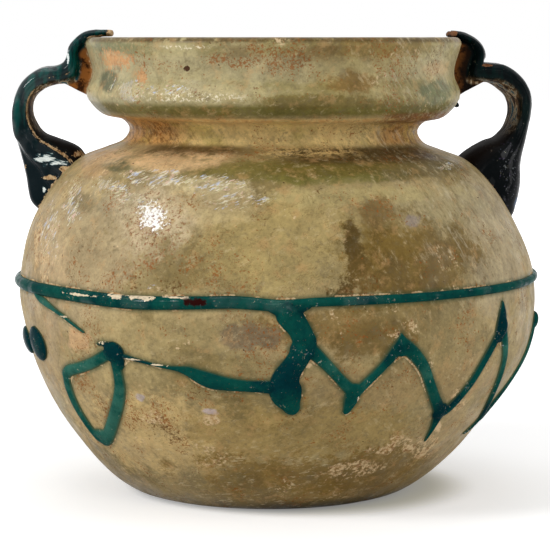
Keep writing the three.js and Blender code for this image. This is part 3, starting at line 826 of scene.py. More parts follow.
def makeHandleGlass():
    material, w, sockets, place = newMaterial("handleGlass", strap["shader"])
    split = w.add("SeparateXYZ", {0: place})
    height = w.times(split[2], 1000)
    leftSide = w.ramp(split[0], 0.002, -0.002)
    web, rise, inside = w.own("web"), w.own("rise"), w.own("inside")
    fine = w.minus(w.noise(place, 1.6, 4, 0.7), 0.5)
    ragged = w.times(fine, 2)

    def spot(x, y, z, across, deep, tall, wild=ragged):
        return blotch(w, place, (x, y, z), (across, deep, tall), wild)

    # nearly black pads, teal where the strap is thin; the teal and the left pad's lighter tone are painted
    # light, much stronger on the left where the light falls
    stripes = w.noise(w.stretched(place, (0.9, 2, 5)), 1.5)
    teal = w.mix(w.ramp(stripes, 0.46, 0.62), strap["teal"], strap["brightTeal"])
    lit = w.times(w.ramp(height, 68, 80), w.blend(leftSide, 0.12, 0.8))
    base = w.mix(lit, w.mix(leftSide, strap["pad"], strap["leftPad"]), teal)
    amount = w.blend(inside, w.blend(leftSide, 0.36, 0.3), 0.4)
    film = w.group(filmGroup, Place=w.stretched(place, (1, 1, 1.4)), Amount=amount)
    base = w.layer(base, film["Mask"], film["Color"], 0.24)

    # glints and a blue tip on the right pad
    amount = w.times(spot(*strap["glints"]), 0.54)
    glints = w.group(flecksGroup, Place=place, Amount=amount, Fineness=1900)["Mask"]
    base = w.layer(base, glints, w.mix(w.ramp(fine, -0.1, 0.1), tone(80, 66, 96), tone(150, 156, 156)), 0.4)
    base = w.mix(spot(*strap["blueTip"]), base, tone(18, 62, 98))

    # the inner face is brown and grey with streaks along the strap
    streaks = w.noise(w.stretched(place, (1, 1, 3.4)), 1.6, 4, 0.65)
    brown, cream, blue = tone(128, 98, 66), tone(226, 208, 176), tone(52, 104, 120)
    innerTone = w.shades(streaks, tone(40, 30, 20), (0.4, 0.48, brown), (0.5, 0.54, cream), (0.57, 0.6, blue))
    # painted shade: lower down the inner face darkens to near black in the recess between strap and collar
    innerTone = w.mix(w.ramp(height, 80, 71), innerTone, tone(20, 14, 11))
    base = w.layer(base, w.times(inside, w.ramp(height, 84.5, 82.5)), innerTone, 0.9)

    # the web is amber, with dark patches, darker on the right
    webTone = w.mix(w.ramp(w.noise(place, 2.6, 4, 0.66), 0.47, 0.6), strap["amber"], strap["darkAmber"])
    nearCollar = w.times(w.ramp(w.plus(rise, ragged), 2.2, 0.2), w.ramp(height, 80, 84))
    webTone = w.mix(w.blend(leftSide, w.blend(nearCollar, 0.97, 0.5), 0), webTone, tone(12, 9, 7))
    webLip = w.mix(leftSide, tone(120, 74, 38), tone(188, 130, 78))
    base = w.mix(web, base, w.layer(webTone, w.ramp(rise, 0.8, 0), webLip, 0.6))

    # soil in the grooves, in the crease at the jar and along the inner edge
    crease = w.times(w.ramp(rise, 0.75, 0.1), w.blend(leftSide, 0.4, 0.5))
    deposits = w.most(*[spot(*deposit) for deposit in strap["deposits"]])
    brink = w.times(w.ramp(inside, 0.05, 0.35), w.ramp(inside, 0.9, 0.5), w.ramp(height, 86, 80))
    brink = w.times(brink, w.blend(leftSide, 0.1, 0.57))
    amount = w.most(w.times(w.own("soil"), 0.56), crease, w.times(deposits, 0.62), brink)
    soil = w.group(soilGroup, Place=place, Amount=amount)
    # painted highlights on the left pad and strap: white with a blue-green fringe
    brushed = w.times(w.minus(w.noise(w.stretched(place, (2.6, 1, 0.6), 10), 1.2, 4, 0.7), 0.46), 3)
    paintedHighlight = w.most(*[spot(*patch, brushed) for patch in strap["paintedHighlights"]])
    base = w.mix(paintedHighlight, base, w.mix(w.ramp(paintedHighlight, 0.3, 0.9), tone(62, 108, 116), tone(230, 238, 234)))
    soilTone = w.mix(w.blend(leftSide, 0.85, 0.15), soil["Color"], tone(104, 54, 26))
    w.feed(w.mix(soil["Mask"], base, soilTone), sockets["Base Color"])

    gloss = w.ramp(w.noise(place, 2.5, 4, 0.6), 0.42, 0.75, 0.07, 0.26)
    gloss = w.blend(w.most(inside, w.times(web, 0.6)), gloss, 0.6)
    w.feed(w.blend(soil["Mask"], gloss, 0.85), sockets["Roughness"])
    # the glass is fresh and glossy in places, mostly on the left
    least, most = w.blend(leftSide, 0.01, 0.04), w.blend(leftSide, 0.05, 0.24)
    glossy = w.ramp(w.noise(place, 5, 3, 0.6), 0.46, 0.6, least, most)
    glossy = w.most(glossy, w.times(spot(*strap["glossyBend"]), 0.5), w.times(paintedHighlight, 0.6))
    w.feed(w.times(glossy, w.minus(1, w.most(soil["Mask"], inside))), sockets["Coat Weight"])
    relief = w.plus(w.times(w.noise(place, 3.2), 0.5), w.times(fine, 0.12), w.times(soil["Height"], 0.9))
    w.feed(w.bump(relief, 0.55, 0.4), sockets["Normal"])
    return material


handleGlass = makeHandleGlass()
makeHandle("leftHandle", leftStrap, handleGlass, "left_handle")
makeHandle("rightHandle", rightStrap, handleGlass, "right_handle")


# the trails: routes of (azimuth, height, half width, depth of colour)

trail = {
    "bellyHeight": 43.65,
    "flushProud": 0.62,
    "flushSoft": 2.2,  # how thinly a flush trail runs out to its edges
    "fullness": 1.2,  # the edges are thin, so a trail is laid wider than it reads
    "sides": 20,
    "spacing": 0.9,
    "ends": [(0.25, 0.95), (0.6, 0.8), (0.85, 0.5)],  # a round end: shares of the width, and how far out
    "voxel": 0.18,
    "smoothing": 4,
    "sunk": 0.4,
    "root": 0.9,  # the half of a rod that is sunk in the jar is at least this deep
    "dropShares": (-0.6, 0, 0.6),  # where a drop's colour is taken, across it
    "shader": {"IOR": 1.5, "Specular IOR Level": 0.003},
    "thin": tone(52, 104, 90),
    "middle": tone(12, 72, 64),
    "deep": tone(4, 44, 49),
    "edge": tone(84, 92, 62),
    # light crust, and painted highlights along the top of the belly trail: azimuth, height, half sizes in mm
    "crustsAndGlints": [
        (-34.4, 43.8, (2.6, 9, 0.42)),
        (-28.6, 43.9, (2.8, 9, 0.5)),
        (-45, 43.5, (4, 9, 0.2)),
        (-21, 44.2, (3.4, 9, 0.2)),
        (-39.8, 35.2, (1.1, 9, 0.7)),
        (-31.5, 32.2, (2.2, 9, 0.14)),
        (-26, 31.5, (1.6, 9, 0.14)),
        (-50.4, 38.9, (1.2, 9, 0.16)),
        (14.2, 24, (0.16, 9, 1)),
        (17.7, 25.2, (0.16, 9, 0.9)),
    ],
    "darkSpot": (-16.2, 43.5, (2.3, 9, 0.75)),
}

trailPlaces = []  # (point, half width) of every station, for the soil that gathered beside the trails
fresh = []  # (point, half width, depth of colour) of the piece that is being laid


def threadRing(azimuth, height, ahead, half, proud, soft, depth):
    # an oval section: its lower half is sunk in the jar, its upper half thins out to the edges
    foot = onJar(azimuth, height)
    out = onJar(azimuth, height, 1) - foot
    across = ahead.cross(out).normalized()
    fresh.append((foot, half, depth))
    ring = []
    for k in range(trail["sides"]):
        angle = k * 2 * math.pi / trail["sides"]
        lift = -math.sin(angle)
        lift = proud * lift ** soft if lift > 0 else max(proud, trail["root"]) * lift
        ring.append(foot + across * half * math.cos(angle) + out * lift)
    return ring


def layThread(bm, route, proud, soft, fullness=trail["fullness"]):
    # a round-ended rod of glass along a route
    flat = [Vector((math.radians(a) * jar["bodyRadius"], z, half, depth)) for a, z, half, depth in route]
    stations = evenRun(smoothRun(flat, 8), trail["spacing"])
    angles = [math.degrees(p.x / jar["bodyRadius"]) for p in stations]
    rings = []
    last = len(stations) - 1
    for i, station in enumerate(stations):
        before, after = max(0, i - 1), min(last, i + 1)
        ahead = onJar(angles[after], stations[after].y) - onJar(angles[before], stations[before].y)
        ahead.normalize()
        half = station.z * fullness
        tall = proud * min(1.1, 0.5 + half / 2.4)
        ring = threadRing(angles[i], station.y, ahead, half, tall, soft, station.w)
        middle = onJar(angles[i], station.y)
        if i == 0:
            for share, reach in trail["ends"]:
                rings.append([middle.lerp(p, share) - ahead * reach * half for p in ring])
        rings.append(ring)
        if i == last:
            for share, reach in reversed(trail["ends"]):
                rings.append([middle.lerp(p, share) + ahead * reach * half for p in ring])
    sweep(bm, rings)


def pressDrop(bm, azimuth, height, across, up, proud, depth):
    # a flattened drop of glass
    foot = onJar(azimuth, height)
    out = (onJar(azimuth, height, 1) - foot).normalized()
    side = Vector((math.cos(math.radians(azimuth)), math.sin(math.radians(azimuth)), 0))
    rise = out.cross(side).normalized()
    for vert in bmesh.ops.create_icosphere(bm, subdivisions=4, radius=1)["verts"]:
        vert.co = foot + side * across * vert.co.x + rise * up * vert.co.y + out * proud * vert.co.z
    for share in trail["dropShares"]:
        fresh.append((foot + side * across * share, min(across, up) * (0.9 - 0.6 * abs(share)), depth))


def finishTrail(name, bm, node, slot="trail_glass", material=None):
    bm = melt(bm, trail["voxel"], trail["smoothing"])
    seatOnJar(bm, trail["sunk"])
    tree = nearestOf([station[0] for station in fresh])
    rise, deep, upper = [], [], []
    for vert in bm.verts:
        rise.append(riseOverJar(vert.co)[0])
        near = [(gap / fresh[i][1], fresh[i][2]) for _, i, gap in tree.find_n(vert.co, 4)]
        weights = [1 / (0.3 + gap) ** 2 for gap, _ in near]
        deep.append(sum(weight * depth for weight, (_, depth) in zip(weights, near)) / sum(weights))
        middle, i, _ = tree.find(vert.co)
        upper.append((vert.co.z - middle.z) / fresh[i][1])
        vert.co = rippled(vert.co)
    trailPlaces.extend((point, half) for point, half, _ in fresh)
    fresh.clear()
    finishPiece(name, bm, material or trailGlass, node, {"rise": rise, "deep": deep, "upper": upper})


def makeTrail(name, node, form, **glass):
    bm = bmesh.new()
    for proud, soft, routes in form.get("threads", []):
        for route in routes:
            layThread(bm, route, proud, soft, form.get("fullness", trail["fullness"]))
    for drop in form.get("drops", []):
        pressDrop(bm, *drop)
    finishTrail(name, bm, node, **glass)


def makeTrailGlass():
    material, w, sockets, place = newMaterial("trailGlass", trail["shader"])
    rise, deep, upper = w.own("rise"), w.own("deep"), w.own("upper")
    height = w.times(w.add("SeparateXYZ", {0: place})[2], 1000)
    ragged = w.times(w.minus(w.noise(place, 1.2, 4, 0.7), 0.5), 2.4)

    def spot(azimuth, level, size, wild=1):
        return blotch(w, place, onJar(azimuth, level, 0.8), size, w.times(ragged, wild))

    # thick glass is deeper in colour than thin glass
    depth = w.plus(deep, w.times(w.minus(w.noise(place, 5, 5, 0.7), 0.5), 1.1))
    glass = w.shades(depth, trail["thin"], (0.15, 0.55, trail["middle"]), (0.5, 0.95, trail["deep"]))
    glass = w.group(grainGroup, Place=place, Color=glass, Clouds=0.7, Fine=0.5)["Color"]
    glass = w.mix(w.ramp(rise, 0.36, 0.02, 0, 0.8), glass, trail["edge"])
    film = w.group(filmGroup, Place=place, Amount=0.38)
    glass = w.layer(glass, film["Mask"], film["Color"], 0.4)
    pits = w.group(flecksGroup, Place=place, Amount=0.32, Fineness=2400)["Mask"]
    glass = w.layer(glass, pits, tone(104, 84, 50), 0.4)

    # soil at the edges, mostly above the belly trail and below the others
    along = w.ramp(w.noise(place, 5), 0.44, 0.62, 0.1, 0.52)
    onBelly = w.ramp(w.apart(height, trail["bellyHeight"]), 2.2, 1.4)
    side = w.blend(onBelly, w.ramp(upper, 0.4, -0.6, 0.5, 1), w.ramp(upper, -0.6, 0.7, 0.7, 1))
    amount = w.times(w.ramp(rise, 0.45, 0.05), along, side)
    # cream crust patches; those on the belly trail's top edge are partly painted highlights
    crustsAndGlints = w.most(*[spot(*crust, 2.1) for crust in trail["crustsAndGlints"]])
    soil = w.group(soilGroup, Place=place, Amount=w.most(amount, w.times(crustsAndGlints, 0.66)))
    glass = w.mix(soil["Mask"], glass, w.layer(soil["Color"], crustsAndGlints, tone(238, 228, 202), 0.6))
    w.feed(w.mix(spot(*trail["darkSpot"]), glass, tone(44, 14, 12)), sockets["Base Color"])

    gloss = w.ramp(w.noise(place, 2, 4, 0.6), 0.4, 0.72, 0.12, 0.42)
    w.feed(w.blend(soil["Mask"], gloss, 0.8), sockets["Roughness"])
    shine = w.ramp(w.noise(place, 8, 3, 0.6), 0.5, 0.62, 0, 0.3)
    w.feed(w.times(shine, onBelly, w.ramp(rise, 0.2, 0.6)), sockets["Coat Weight"])
    relief = w.plus(w.times(w.noise(place, 2.2, 4, 0.6), 0.6), w.times(soil["Height"], 0.9))
    w.feed(w.bump(w.minus(relief, w.times(pits, 0.2)), 0.55, 0.35), sockets["Normal"])
    return material


trailGlass = makeTrailGlass()

bellyTrail = {
    "width": 2.3,
    "tilt": 0.0078,
    # where it lies higher or lower: azimuth, rise, how far round
    "waves": [(0, -0.5, 5), (-31, -0.55, 13), (-9, 0.1, 4)],
    # how wide it lies round the jar: azimuth from the back, share
    "shares": [
        (0, 0.9), (120, 1.1), (150, 1.15), (176, 1.05), (186, 0.78), (240, 0.76), (300, 0.86), (360, 0.9),
    ],
    "proud": 1.05,
    "soft": 1.3,
    "depth": 0.62,
    "stations": 420,
}


def makeBellyTrail():
    # wound once round the widest part of the belly
    rings = []
    for i in range(bellyTrail["stations"]):
        azimuth = i * 360 / bellyTrail["stations"]
        angle = math.radians(azimuth)
        height = trail["bellyHeight"] + bellyTrail["tilt"] * jar["bodyRadius"] * math.sin(angle)
        for centre, rise, reach in bellyTrail["waves"]:
            away = (azimuth - centre + 180) % 360 - 180
            height += rise * math.exp(-((away / reach) ** 2))
        swell = alongTable(bellyTrail["shares"], (azimuth + 180) % 360)
        half, proud = bellyTrail["width"] / 2 * swell, bellyTrail["proud"] * swell
        ahead = Vector((math.cos(angle), math.sin(angle), 0))
        rings.append(threadRing(azimuth, height, ahead, half, proud, bellyTrail["soft"], bellyTrail["depth"]))
    bm = bmesh.new()
    sweep(bm, rings, closed=True)
    finishTrail("bellyTrail", bm, "belly_trail")


makeBellyTrail()

# threads are (how proud, how soft at the edges, routes);
# drops are (azimuth, height, half width, half height, how proud, depth of colour)

trunkTrail = {
    "threads": [
        (1.35, 1.7, [
            [(2.3, 41.6, 2.2, 0.5), (2.9, 40.6, 2.05, 0.5), (4.3, 38.7, 1.8, 0.6), (5.4, 36.1, 1.9, 0.7)],
            [
                (5.4, 36.3, 1.9, 0.7), (5, 35.1, 1.85, 0.7), (3.6, 32.8, 1.8, 0.8), (2.3, 31.1, 1.9, 0.9),
                (1.3, 29.2, 2.3, 0.9), (1.3, 27.2, 2.6, 0.85), (2.2, 25.2, 2.3, 0.6), (3.1, 23.8, 1.5, 0.45),
            ],
        ]),
        (0.9, 1.5, [[(-2.4, 42.9, 0.5, 0.7), (2, 42.3, 1.4, 0.8), (6.4, 43, 0.5, 0.7)]]),
    ],
    "drops": [(1.7, 27, 2.9, 2.9, 1.6, 0.8), (4.9, 34.9, 2.5, 2.3, 1.3, 0.8)],
}

frontZigzag = {
    "fullness": 1.04,
    "threads": [(trail["flushProud"], trail["flushSoft"], [
        [
            (5.6, 35.6, 1.7, 0.8), (8.3, 33.3, 1.3, 0.55), (10.9, 30.9, 1.15, 0.45), (13.6, 28.5, 1.15, 0.5),
            (16.2, 26.5, 1.4, 0.6),
        ],
        [(16.3, 26.6, 1.8, 0.7), (16.2, 24.6, 1.5, 0.6), (15.9, 22.7, 0.9, 0.4)],
        [
            (16.6, 26, 1.3, 0.6), (19.4, 28.7, 1.05, 0.5), (22.3, 31.4, 1.05, 0.55), (25, 34.4, 1.3, 0.7),
            (26, 36.4, 0.8, 0.6),
        ],
        [(26.3, 34.5, 1.7, 0.7), (26.2, 35.6, 1.4, 0.65), (25.9, 37, 0.5, 0.5)],
        [
            (26.4, 35.2, 1.5, 0.7), (28.9, 33.5, 1.45, 0.6), (32, 30.7, 1.3, 0.5), (34.8, 27.3, 1.2, 0.4),
            (38.3, 23.9, 1.25, 0.55), (42.3, 20.9, 1.5, 0.8),
        ],
        [(42.4, 21, 1.9, 0.9), (43.5, 17.8, 1, 0.7), (43.9, 14.6, 0.4, 0.5)],
        [
            (42.8, 20.2, 1.5, 0.8), (45.2, 21.2, 1.5, 0.8), (47.9, 24.9, 1.3, 0.65), (49.9, 29.2, 1.25, 0.65),
            (52.8, 33.2, 1.25, 0.8), (54.9, 35.6, 1.4, 1),
        ],
        [(55.2, 35.6, 2.3, 1), (55.5, 38.4, 1.8, 1), (55.6, 41, 0.6, 0.6)],
        [
            (55.8, 36.2, 1.5, 0.9), (57.3, 34.2, 1.3, 0.4), (59.2, 31, 1.2, 0.35), (61, 26.8, 1.2, 0.45),
            (63.4, 22.8, 1.2, 0.6), (66.9, 19.2, 1.2, 0.8), (69.6, 16.6, 1.2, 0.8),
        ],
        [(69.4, 16.6, 1.1, 0.8), (67.2, 15, 0.9, 0.7), (64.6, 13.9, 0.45, 0.6)],
    ])],
    "drops": [(55.3, 36.6, 1.6, 2.2, 1.2, 1), (42.3, 20.6, 1.7, 1.4, 0.9, 0.9)],
}

makeTrail("trunkTrail", "trunk_trail", trunkTrail)
makeTrail("frontZigzag", "front_zigzag_trail", frontZigzag)

backZigzag = {
    "peakHeight": 35.3,
    "valleyHeight": 18,
    "firstPeak": 84,
    "lastPeak": 276,
    "waves": 6,
    "start": (69.8, 16.8),
    "drop": (1.9, 1.9, 1.1, 0.9),
}


def makeBackZigzag():
    # legs between peaks and valleys, none quite alike
    waves, first = backZigzag["waves"], backZigzag["firstPeak"]
    pitch = (backZigzag["lastPeak"] - first) / waves
    bm = bmesh.new()

    def peak(k):
        return first + k * pitch, backZigzag["peakHeight"] + 0.7 * math.sin(2.4 * k)

    def valley(k):
        return first + (k + 0.5) * pitch, backZigzag["valleyHeight"] + 1.2 * math.cos(1.9 * k)

    def flush(*route):
        layThread(bm, route, trail["flushProud"], trail["flushSoft"])

    def leg(a, b, bow):
        middle = ((a[0] + b[0]) / 2 + bow, (a[1] + b[1]) / 2)
        flush((*a, 1.35, 0.7), (*middle, 1.05, 0.45), (*b, 1.3, 0.65))

    leg(backZigzag["start"], peak(0), 0.5)
    for k in range(waves):
        pressDrop(bm, peak(k)[0], peak(k)[1] - 0.4, *backZigzag["drop"])
        leg(peak(k), valley(k), 0.8 * math.sin(k))
        azimuth, height = valley(k)
        if k < waves - 1:
            leg(valley(k), peak(k + 1), -0.6 * math.cos(k))
            flush((azimuth, height, 1.6, 0.7), (azimuth, height - 2.6, 0.6, 0.5))
    flush((azimuth, height, 1.2, 0.6), (azimuth + 5, 22, 1.1, 0.5), (azimuth + 8.5, 27, 1, 0.5))
    finishTrail("backZigzag", bm, "back_zigzag_trail")


makeBackZigzag()

linkTrail = {
    "threads": [(0.8, 1.8, [[
        (-36, 32.7, 0.6, 0.9), (-31.6, 32, 0.38, 0.8), (-27.8, 31.4, 0.32, 0.8), (-24.8, 31, 0.32, 0.7),
        (-21.9, 30.8, 0.5, 0.6), (-19.4, 30.4, 0.95, 0.55), (-16.7, 29.4, 1.35, 0.65),
        (-14.3, 28.7, 1.5, 0.6), (-10.8, 28.2, 1.25, 0.55), (-7, 27.9, 1.1, 0.7), (-3.6, 27.8, 1.15, 0.8),
        (0, 27.6, 1.4, 0.9),
    ]])],
}

loopTrail = {
    "threads": [(0.5, trail["flushSoft"], [
        [(-37.4, 34, 0.9, 0.9), (-39.4, 34.5, 0.55, 0.8), (-41.4, 34.3, 0.3, 0.7)],
        [
            (-36.9, 33.3, 1.2, 0.9), (-37.3, 31.5, 1.15, 0.7), (-37.1, 29.2, 1.15, 0.45),
            (-37.4, 26, 1.25, 0.4), (-39.5, 22.4, 1.3, 0.3), (-44, 18, 1.3, 0.25), (-49, 14.7, 1.3, 0.3),
            (-52, 13.5, 1.2, 0.35),
        ],
        [(-48.4, 15.6, 0.9, 0.3), (-51, 14.8, 1.5, 0.35), (-53.6, 15, 1.1, 0.4)],
        [
            (-51.8, 13.6, 1.1, 0.4), (-54.2, 13.9, 1.2, 0.5), (-55.4, 15.7, 1.25, 0.6),
            (-56.4, 18.2, 1.3, 0.6), (-57, 21.2, 1.35, 0.5), (-56.8, 24.1, 1.3, 0.45),
            (-55.8, 26.7, 1.2, 0.35),
        ],
        [
            (-55.9, 26.9, 1.1, 0.35), (-54.2, 27.8, 1.1, 0.3), (-48.3, 29.2, 1.05, 0.25),
            (-43.7, 30.6, 1.05, 0.3), (-39.4, 32.4, 1.1, 0.5), (-37.3, 33.3, 1.1, 0.9),
        ],
    ])],
    "drops": [(-37.1, 33, 2.5, 2.2, 1.2, 1), (-36.4, 31.6, 1.7, 2.2, 0.9, 0.95)],
}

stubTrail = {
    "threads": [(0.7, 1.6, [[
        (-65, 43.05, 0.65, 0.5), (-62.2, 41.7, 0.7, 0.35), (-58.5, 40.8, 0.7, 0.25), (-55.5, 40, 0.5, 0.3),
        (-51.6, 38.9, 0.4, 0.3), (-48.5, 37.7, 0.36, 0.4), (-45.1, 36.3, 0.25, 0.6),
    ]])],
}

leftDrop = {"drops": [(-67.5, 32, 4.6, 3.6, 1, 0.95), (-80, 31.4, 5, 2.9, 1.2, 0.95)]}

collarBead = {"drops": [(90, 78.7, 0.6, 0.6, 0.85, 0.9)]}

makeTrail("linkTrail", "link_trail", linkTrail)
makeTrail("loopTrail", "loop_trail", loopTrail)
makeTrail("stubTrail", "stub_trail", stubTrail)
makeTrail("leftDrop", "left_drop", leftDrop)
makeTrail("collarBead", "collar_bead", collarBead, slot="handle_glass", material=handleGlass)


# the jar itself


def jarSection():
    # (radius, height) points from the axis underneath to the axis inside
    pontil = [jar["pontilRadius"] + k for k in (-1, -0.5, 0, 0.5, 1)]
    under = [Vector((r, kickAt(r))) for r in (0, 2, 4)]
    ridge = [jar["pontilRidge"] * (1 - abs(r - jar["pontilRadius"])) ** 0.5 for r in pontil]
    under += [Vector((r, kickAt(r) - deep)) for r, deep in zip(pontil, ridge)]
    under += [Vector((r, kickAt(r))) for r in (9, 11, 13, 15)] + [Vector((jar["restInner"], 0))]
    flat = [Vector((p.x, p.y)) for p in outline]
    outer = evenRun(flat, jar["outerSpacing"])
    lip = jar["collarWall"] / 2
    centre = Vector((jar["lipRadius"] - lip, jar["rimHeight"] - lip))
    angles = [k * math.pi / 10 for k in range(1, 10)]
    arc = [centre + Vector((math.cos(angle), math.sin(angle))) * lip for angle in angles]
    coarse = evenRun(flat, jar["innerSpacing"])
    inner = []
    for i, point in enumerate(coarse):
        ahead = (coarse[min(len(coarse) - 1, i + 1)] - coarse[max(0, i - 1)]).normalized()
        inner.append(point - Vector((ahead.y, -ahead.x)) * wallAt(point.y))
    floor = [Vector((r, kickAt(r) + jar["floorWall"])) for r in (17, 13, 9, 5, 2, 0)]
    return under + outer + arc + inner[::-1] + floor


def makeJar():
    bm = bmesh.new()
    verts = [bm.verts.new((p.x, 0, p.y)) for p in jarSection()]
    edges = [bm.edges.new(pair) for pair in zip(verts, verts[1:])]
    full = {"angle": 2 * math.pi, "steps": jar["aroundSteps"], "use_merge": True}
    bmesh.ops.spin(bm, geom=verts + edges, axis=(0, 0, 1), cent=(0, 0, 0), **full)
    bmesh.ops.remove_doubles(bm, verts=bm.verts, dist=0.001)
    bmesh.ops.recalc_face_normals(bm, faces=bm.faces)
    tree = nearestOf([point for point, _ in trailPlaces])
    gaps, uppers, insides = [], [], []
    for vert in bm.verts:
        point = vert.co
        settled = point + sag(point)
        middle, nearest, away = tree.find(settled)
        gaps.append(min(jar["farFromTrails"], away - trailPlaces[nearest][1]))
        uppers.append((settled.z - middle.z) / trailPlaces[nearest][1])
        deep = radiusAt(min(point.z, jar["rimHeight"] - 2)) - math.hypot(point.x, point.y)
        insides.append(smoothStep(deep, *jar["innerDepths"]) if point.z > jar["kick"] + 0.5 else 0)
        vert.co = rippled(settled)
    values = {"trailGap": gaps, "trailUpper": uppers, "inside": insides}
    finishPiece("jarBody", bm, jarGlass, "vessel", values)


finish = {
    "shader": {"IOR": 1.5, "Specular IOR Level": 0.09, "Coat Roughness": 0.22},
    "khaki": tone(154, 136, 93),
    "olive": tone(133, 115, 72),
    "tan": tone(170, 148, 105),
    "speck": tone(146, 84, 34),
    "darkSpeck": tone(84, 48, 14),
    "pit": tone(62, 28, 10),
    "peach": tone(208, 168, 122),
    "cream": tone(226, 212, 172),
    "patchDepth": 30,  # half size of every patch through the jar, in mm
    # patches from the broad to the small:
    # azimuth, height, half width and half height in mm, colour, strength, how ragged
    "patches": [
        (-48, 50, 13, 14, (174, 154, 118), 0.75, 1.2),
        (-62, 40, 5, 20, (172, 148, 112), 0.6, 1.2),
        (-30, 60, 16, 6, (168, 150, 114), 0.7, 1.2),
        (0, 54, 15, 9, (166, 146, 94), 0.8, 1.0),
        (-30, 16, 22, 9, (198, 170, 116), 0.8, 1.4),
        (-34, 34, 10, 7, (176, 156, 108), 0.6, 1.2),
        (58, 52, 8, 17, (172, 156, 124), 0.7, 1.2),
        (44, 60, 10, 5, (158, 144, 106), 0.8, 1.3),
        (30, 50, 15, 8, (110, 86, 32), 0.85, 1.4),
        (13, 39, 17, 3.6, (118, 94, 46), 0.75, 1.4),
        (32, 36, 14, 6, (146, 128, 86), 0.7, 1.2),
        (24, 27, 22, 5, (152, 128, 86), 0.6, 1.4),
        (10, 18, 24, 7, (152, 128, 74), 0.7, 1.4),
        (20, 9, 26, 4.5, (120, 94, 38), 0.8, 1.6),
        (30, 9.5, 10, 5, (116, 92, 44), 0.75, 1.6),
        (4, 67, 24, 2.1, (116, 104, 50), 0.9, 0.7),
        (44, 67.2, 14, 2.2, (92, 78, 36), 0.8, 0.8),
        (14, 65.8, 14, 1.3, (100, 96, 42), 0.6, 0.8),
        (-31, 68, 8, 1.6, (212, 176, 128), 0.8, 0.9),
        (-60, 67.5, 4, 3, (174, 140, 98), 0.7, 1.2),
        (-49, 67.2, 3.2, 1.3, (98, 92, 58), 0.95, 0.5),
        (-52, 60.4, 3, 1.8, (116, 102, 70), 0.7, 1.3),
        (-14, 63.6, 8, 2.2, (216, 198, 150), 0.8, 1.2),
        (-12, 60.2, 8, 3, (184, 164, 118), 0.6, 1.2),
        (22, 62.6, 20, 1.6, (172, 156, 106), 0.6, 1.0),
        (12, 67.2, 12, 1.4, (98, 84, 34), 0.7, 0.8),
        (-39, 61, 6, 2.5, (150, 138, 108), 0.6, 1.2),
        (-56, 48, 3, 5, (184, 158, 120), 0.6, 1.5),
        (20, 36, 8, 4, (112, 90, 46), 0.8, 1.4),
        (-20, 43, 9, 3, (186, 164, 116), 0.6, 1.2),
        (-60, 52, 3, 4, (196, 172, 132), 0.6, 1.4),
        (18, 43, 4, 2, (112, 92, 46), 0.7, 1.4),
        (-13, 63, 6, 3, (146, 128, 92), 0.6, 1.2),
        (17.4, 54.4, 1.7, 3, (76, 58, 20), 0.9, 1.5),
        (17.6, 50.6, 2.6, 2.6, (88, 68, 28), 0.85, 1.7),
        (13.8, 45.8, 3.6, 2.6, (80, 60, 24), 0.95, 2),
        (19, 46.6, 3.6, 2.8, (104, 82, 40), 0.75, 1.4),
        (26, 48, 4.4, 3.2, (104, 84, 44), 0.75, 1.6),
        (24.4, 59.6, 3.2, 2.6, (118, 96, 56), 0.8, 1.4),
        (37, 50.5, 3.6, 4, (114, 94, 58), 0.6, 1.6),
        (33, 57.4, 1.6, 1.2, (150, 140, 142), 0.45, 1.6),
        (-6, 37.4, 5.4, 2.4, (122, 106, 84), 0.75, 1.4),
        (-47, 34.6, 2.4, 2.4, (206, 166, 122), 0.75, 1.3),
        (-15, 22.4, 1.4, 0.7, (186, 172, 178), 0.7, 1.6),
        (-32, 24.4, 0.8, 0.6, (176, 166, 176), 0.6, 1.8),
    ],
    # patches on the collar, given in the same way
    "collarPatches": [
        (-56, 90.1, 5, 1.1, (122, 122, 86), 0.9, 0.4),
        (-61, 83.4, 2, 2.2, (96, 98, 70), 0.95, 0.5),
        (-46, 89.6, 4, 1.3, (128, 124, 84), 0.7, 0.7),
        (25, 83.4, 4.5, 2.2, (116, 86, 38), 0.75, 1.4),
        (14, 79.8, 12, 1.4, (108, 92, 42), 0.75, 1.2),
        (30, 90, 12, 1.6, (132, 108, 56), 0.6, 1.4),
        (58, 81.6, 4, 2.4, (104, 112, 80), 0.8, 0.9),
        (60, 86, 3, 1.6, (190, 158, 112), 0.6, 1.2),
    ],
    # bare spots with brown edges on the collar: azimuth, height, half width and height
    "bareSpots": [(-57, 87.6, 2.6, 1.7), (-51, 87.6, 1.8, 0.8), (-43.6, 84.4, 0.9, 1.5)],
    # where soil, specks and pale flakes lie: azimuth, height, half width and height, amount
    "dust": [
        (34, 14, 7, 3, 0.5),
        (46, 13, 4, 4, 0.52),
        (24, 9.6, 10, 3, 0.5),
        (-15, 20.8, 2, 1.4, 0.6),
        (-30, 20, 4, 2.4, 0.5),
        (-60, 46, 1.6, 9, 0.5),
        (48, 22, 2, 5, 0.5),
        (-18, 13, 10, 3, 0.44),
        (-70, 54, 1.2, 12, 0.52),
    ],
    "knots": [
        (-16, 87.8, 2.6, 1.2, 0.8),
        (-9, 87, 3, 1, 0.8),
        (-4, 51.2, 1.2, 1.4, 0.8),
        (-50, 26, 1.6, 2.2, 0.8),
    ],
    "flakes": [
        (-34, 65.4, 9, 1.9, 0.5),
        (-45, 63.8, 5, 2, 0.5),
        (-36.5, 61.8, 3.4, 1.3, 0.51),
        (-14, 65, 10, 1.9, 0.49),
        (-10, 62.2, 8, 2.8, 0.46),
        (-58, 60.5, 2.8, 5, 0.49),
        (-62, 54, 2.8, 6, 0.48),
        (-26, 46, 1.6, 1.4, 0.44),
        (57, 67, 2.6, 0.9, 0.5),
        (-46, 81.6, 4.6, 2.4, 0.5),
        (-33, 82, 7, 1.2, 0.46),
    ],
    # short pale strokes beside the trunk and the zigzag
    "strokes": [(4.2, 30.4, 0.8, 0.4), (6, 31.9, 0.7, 0.45), (45.6, 17.4, 0.7, 1.6)],
}


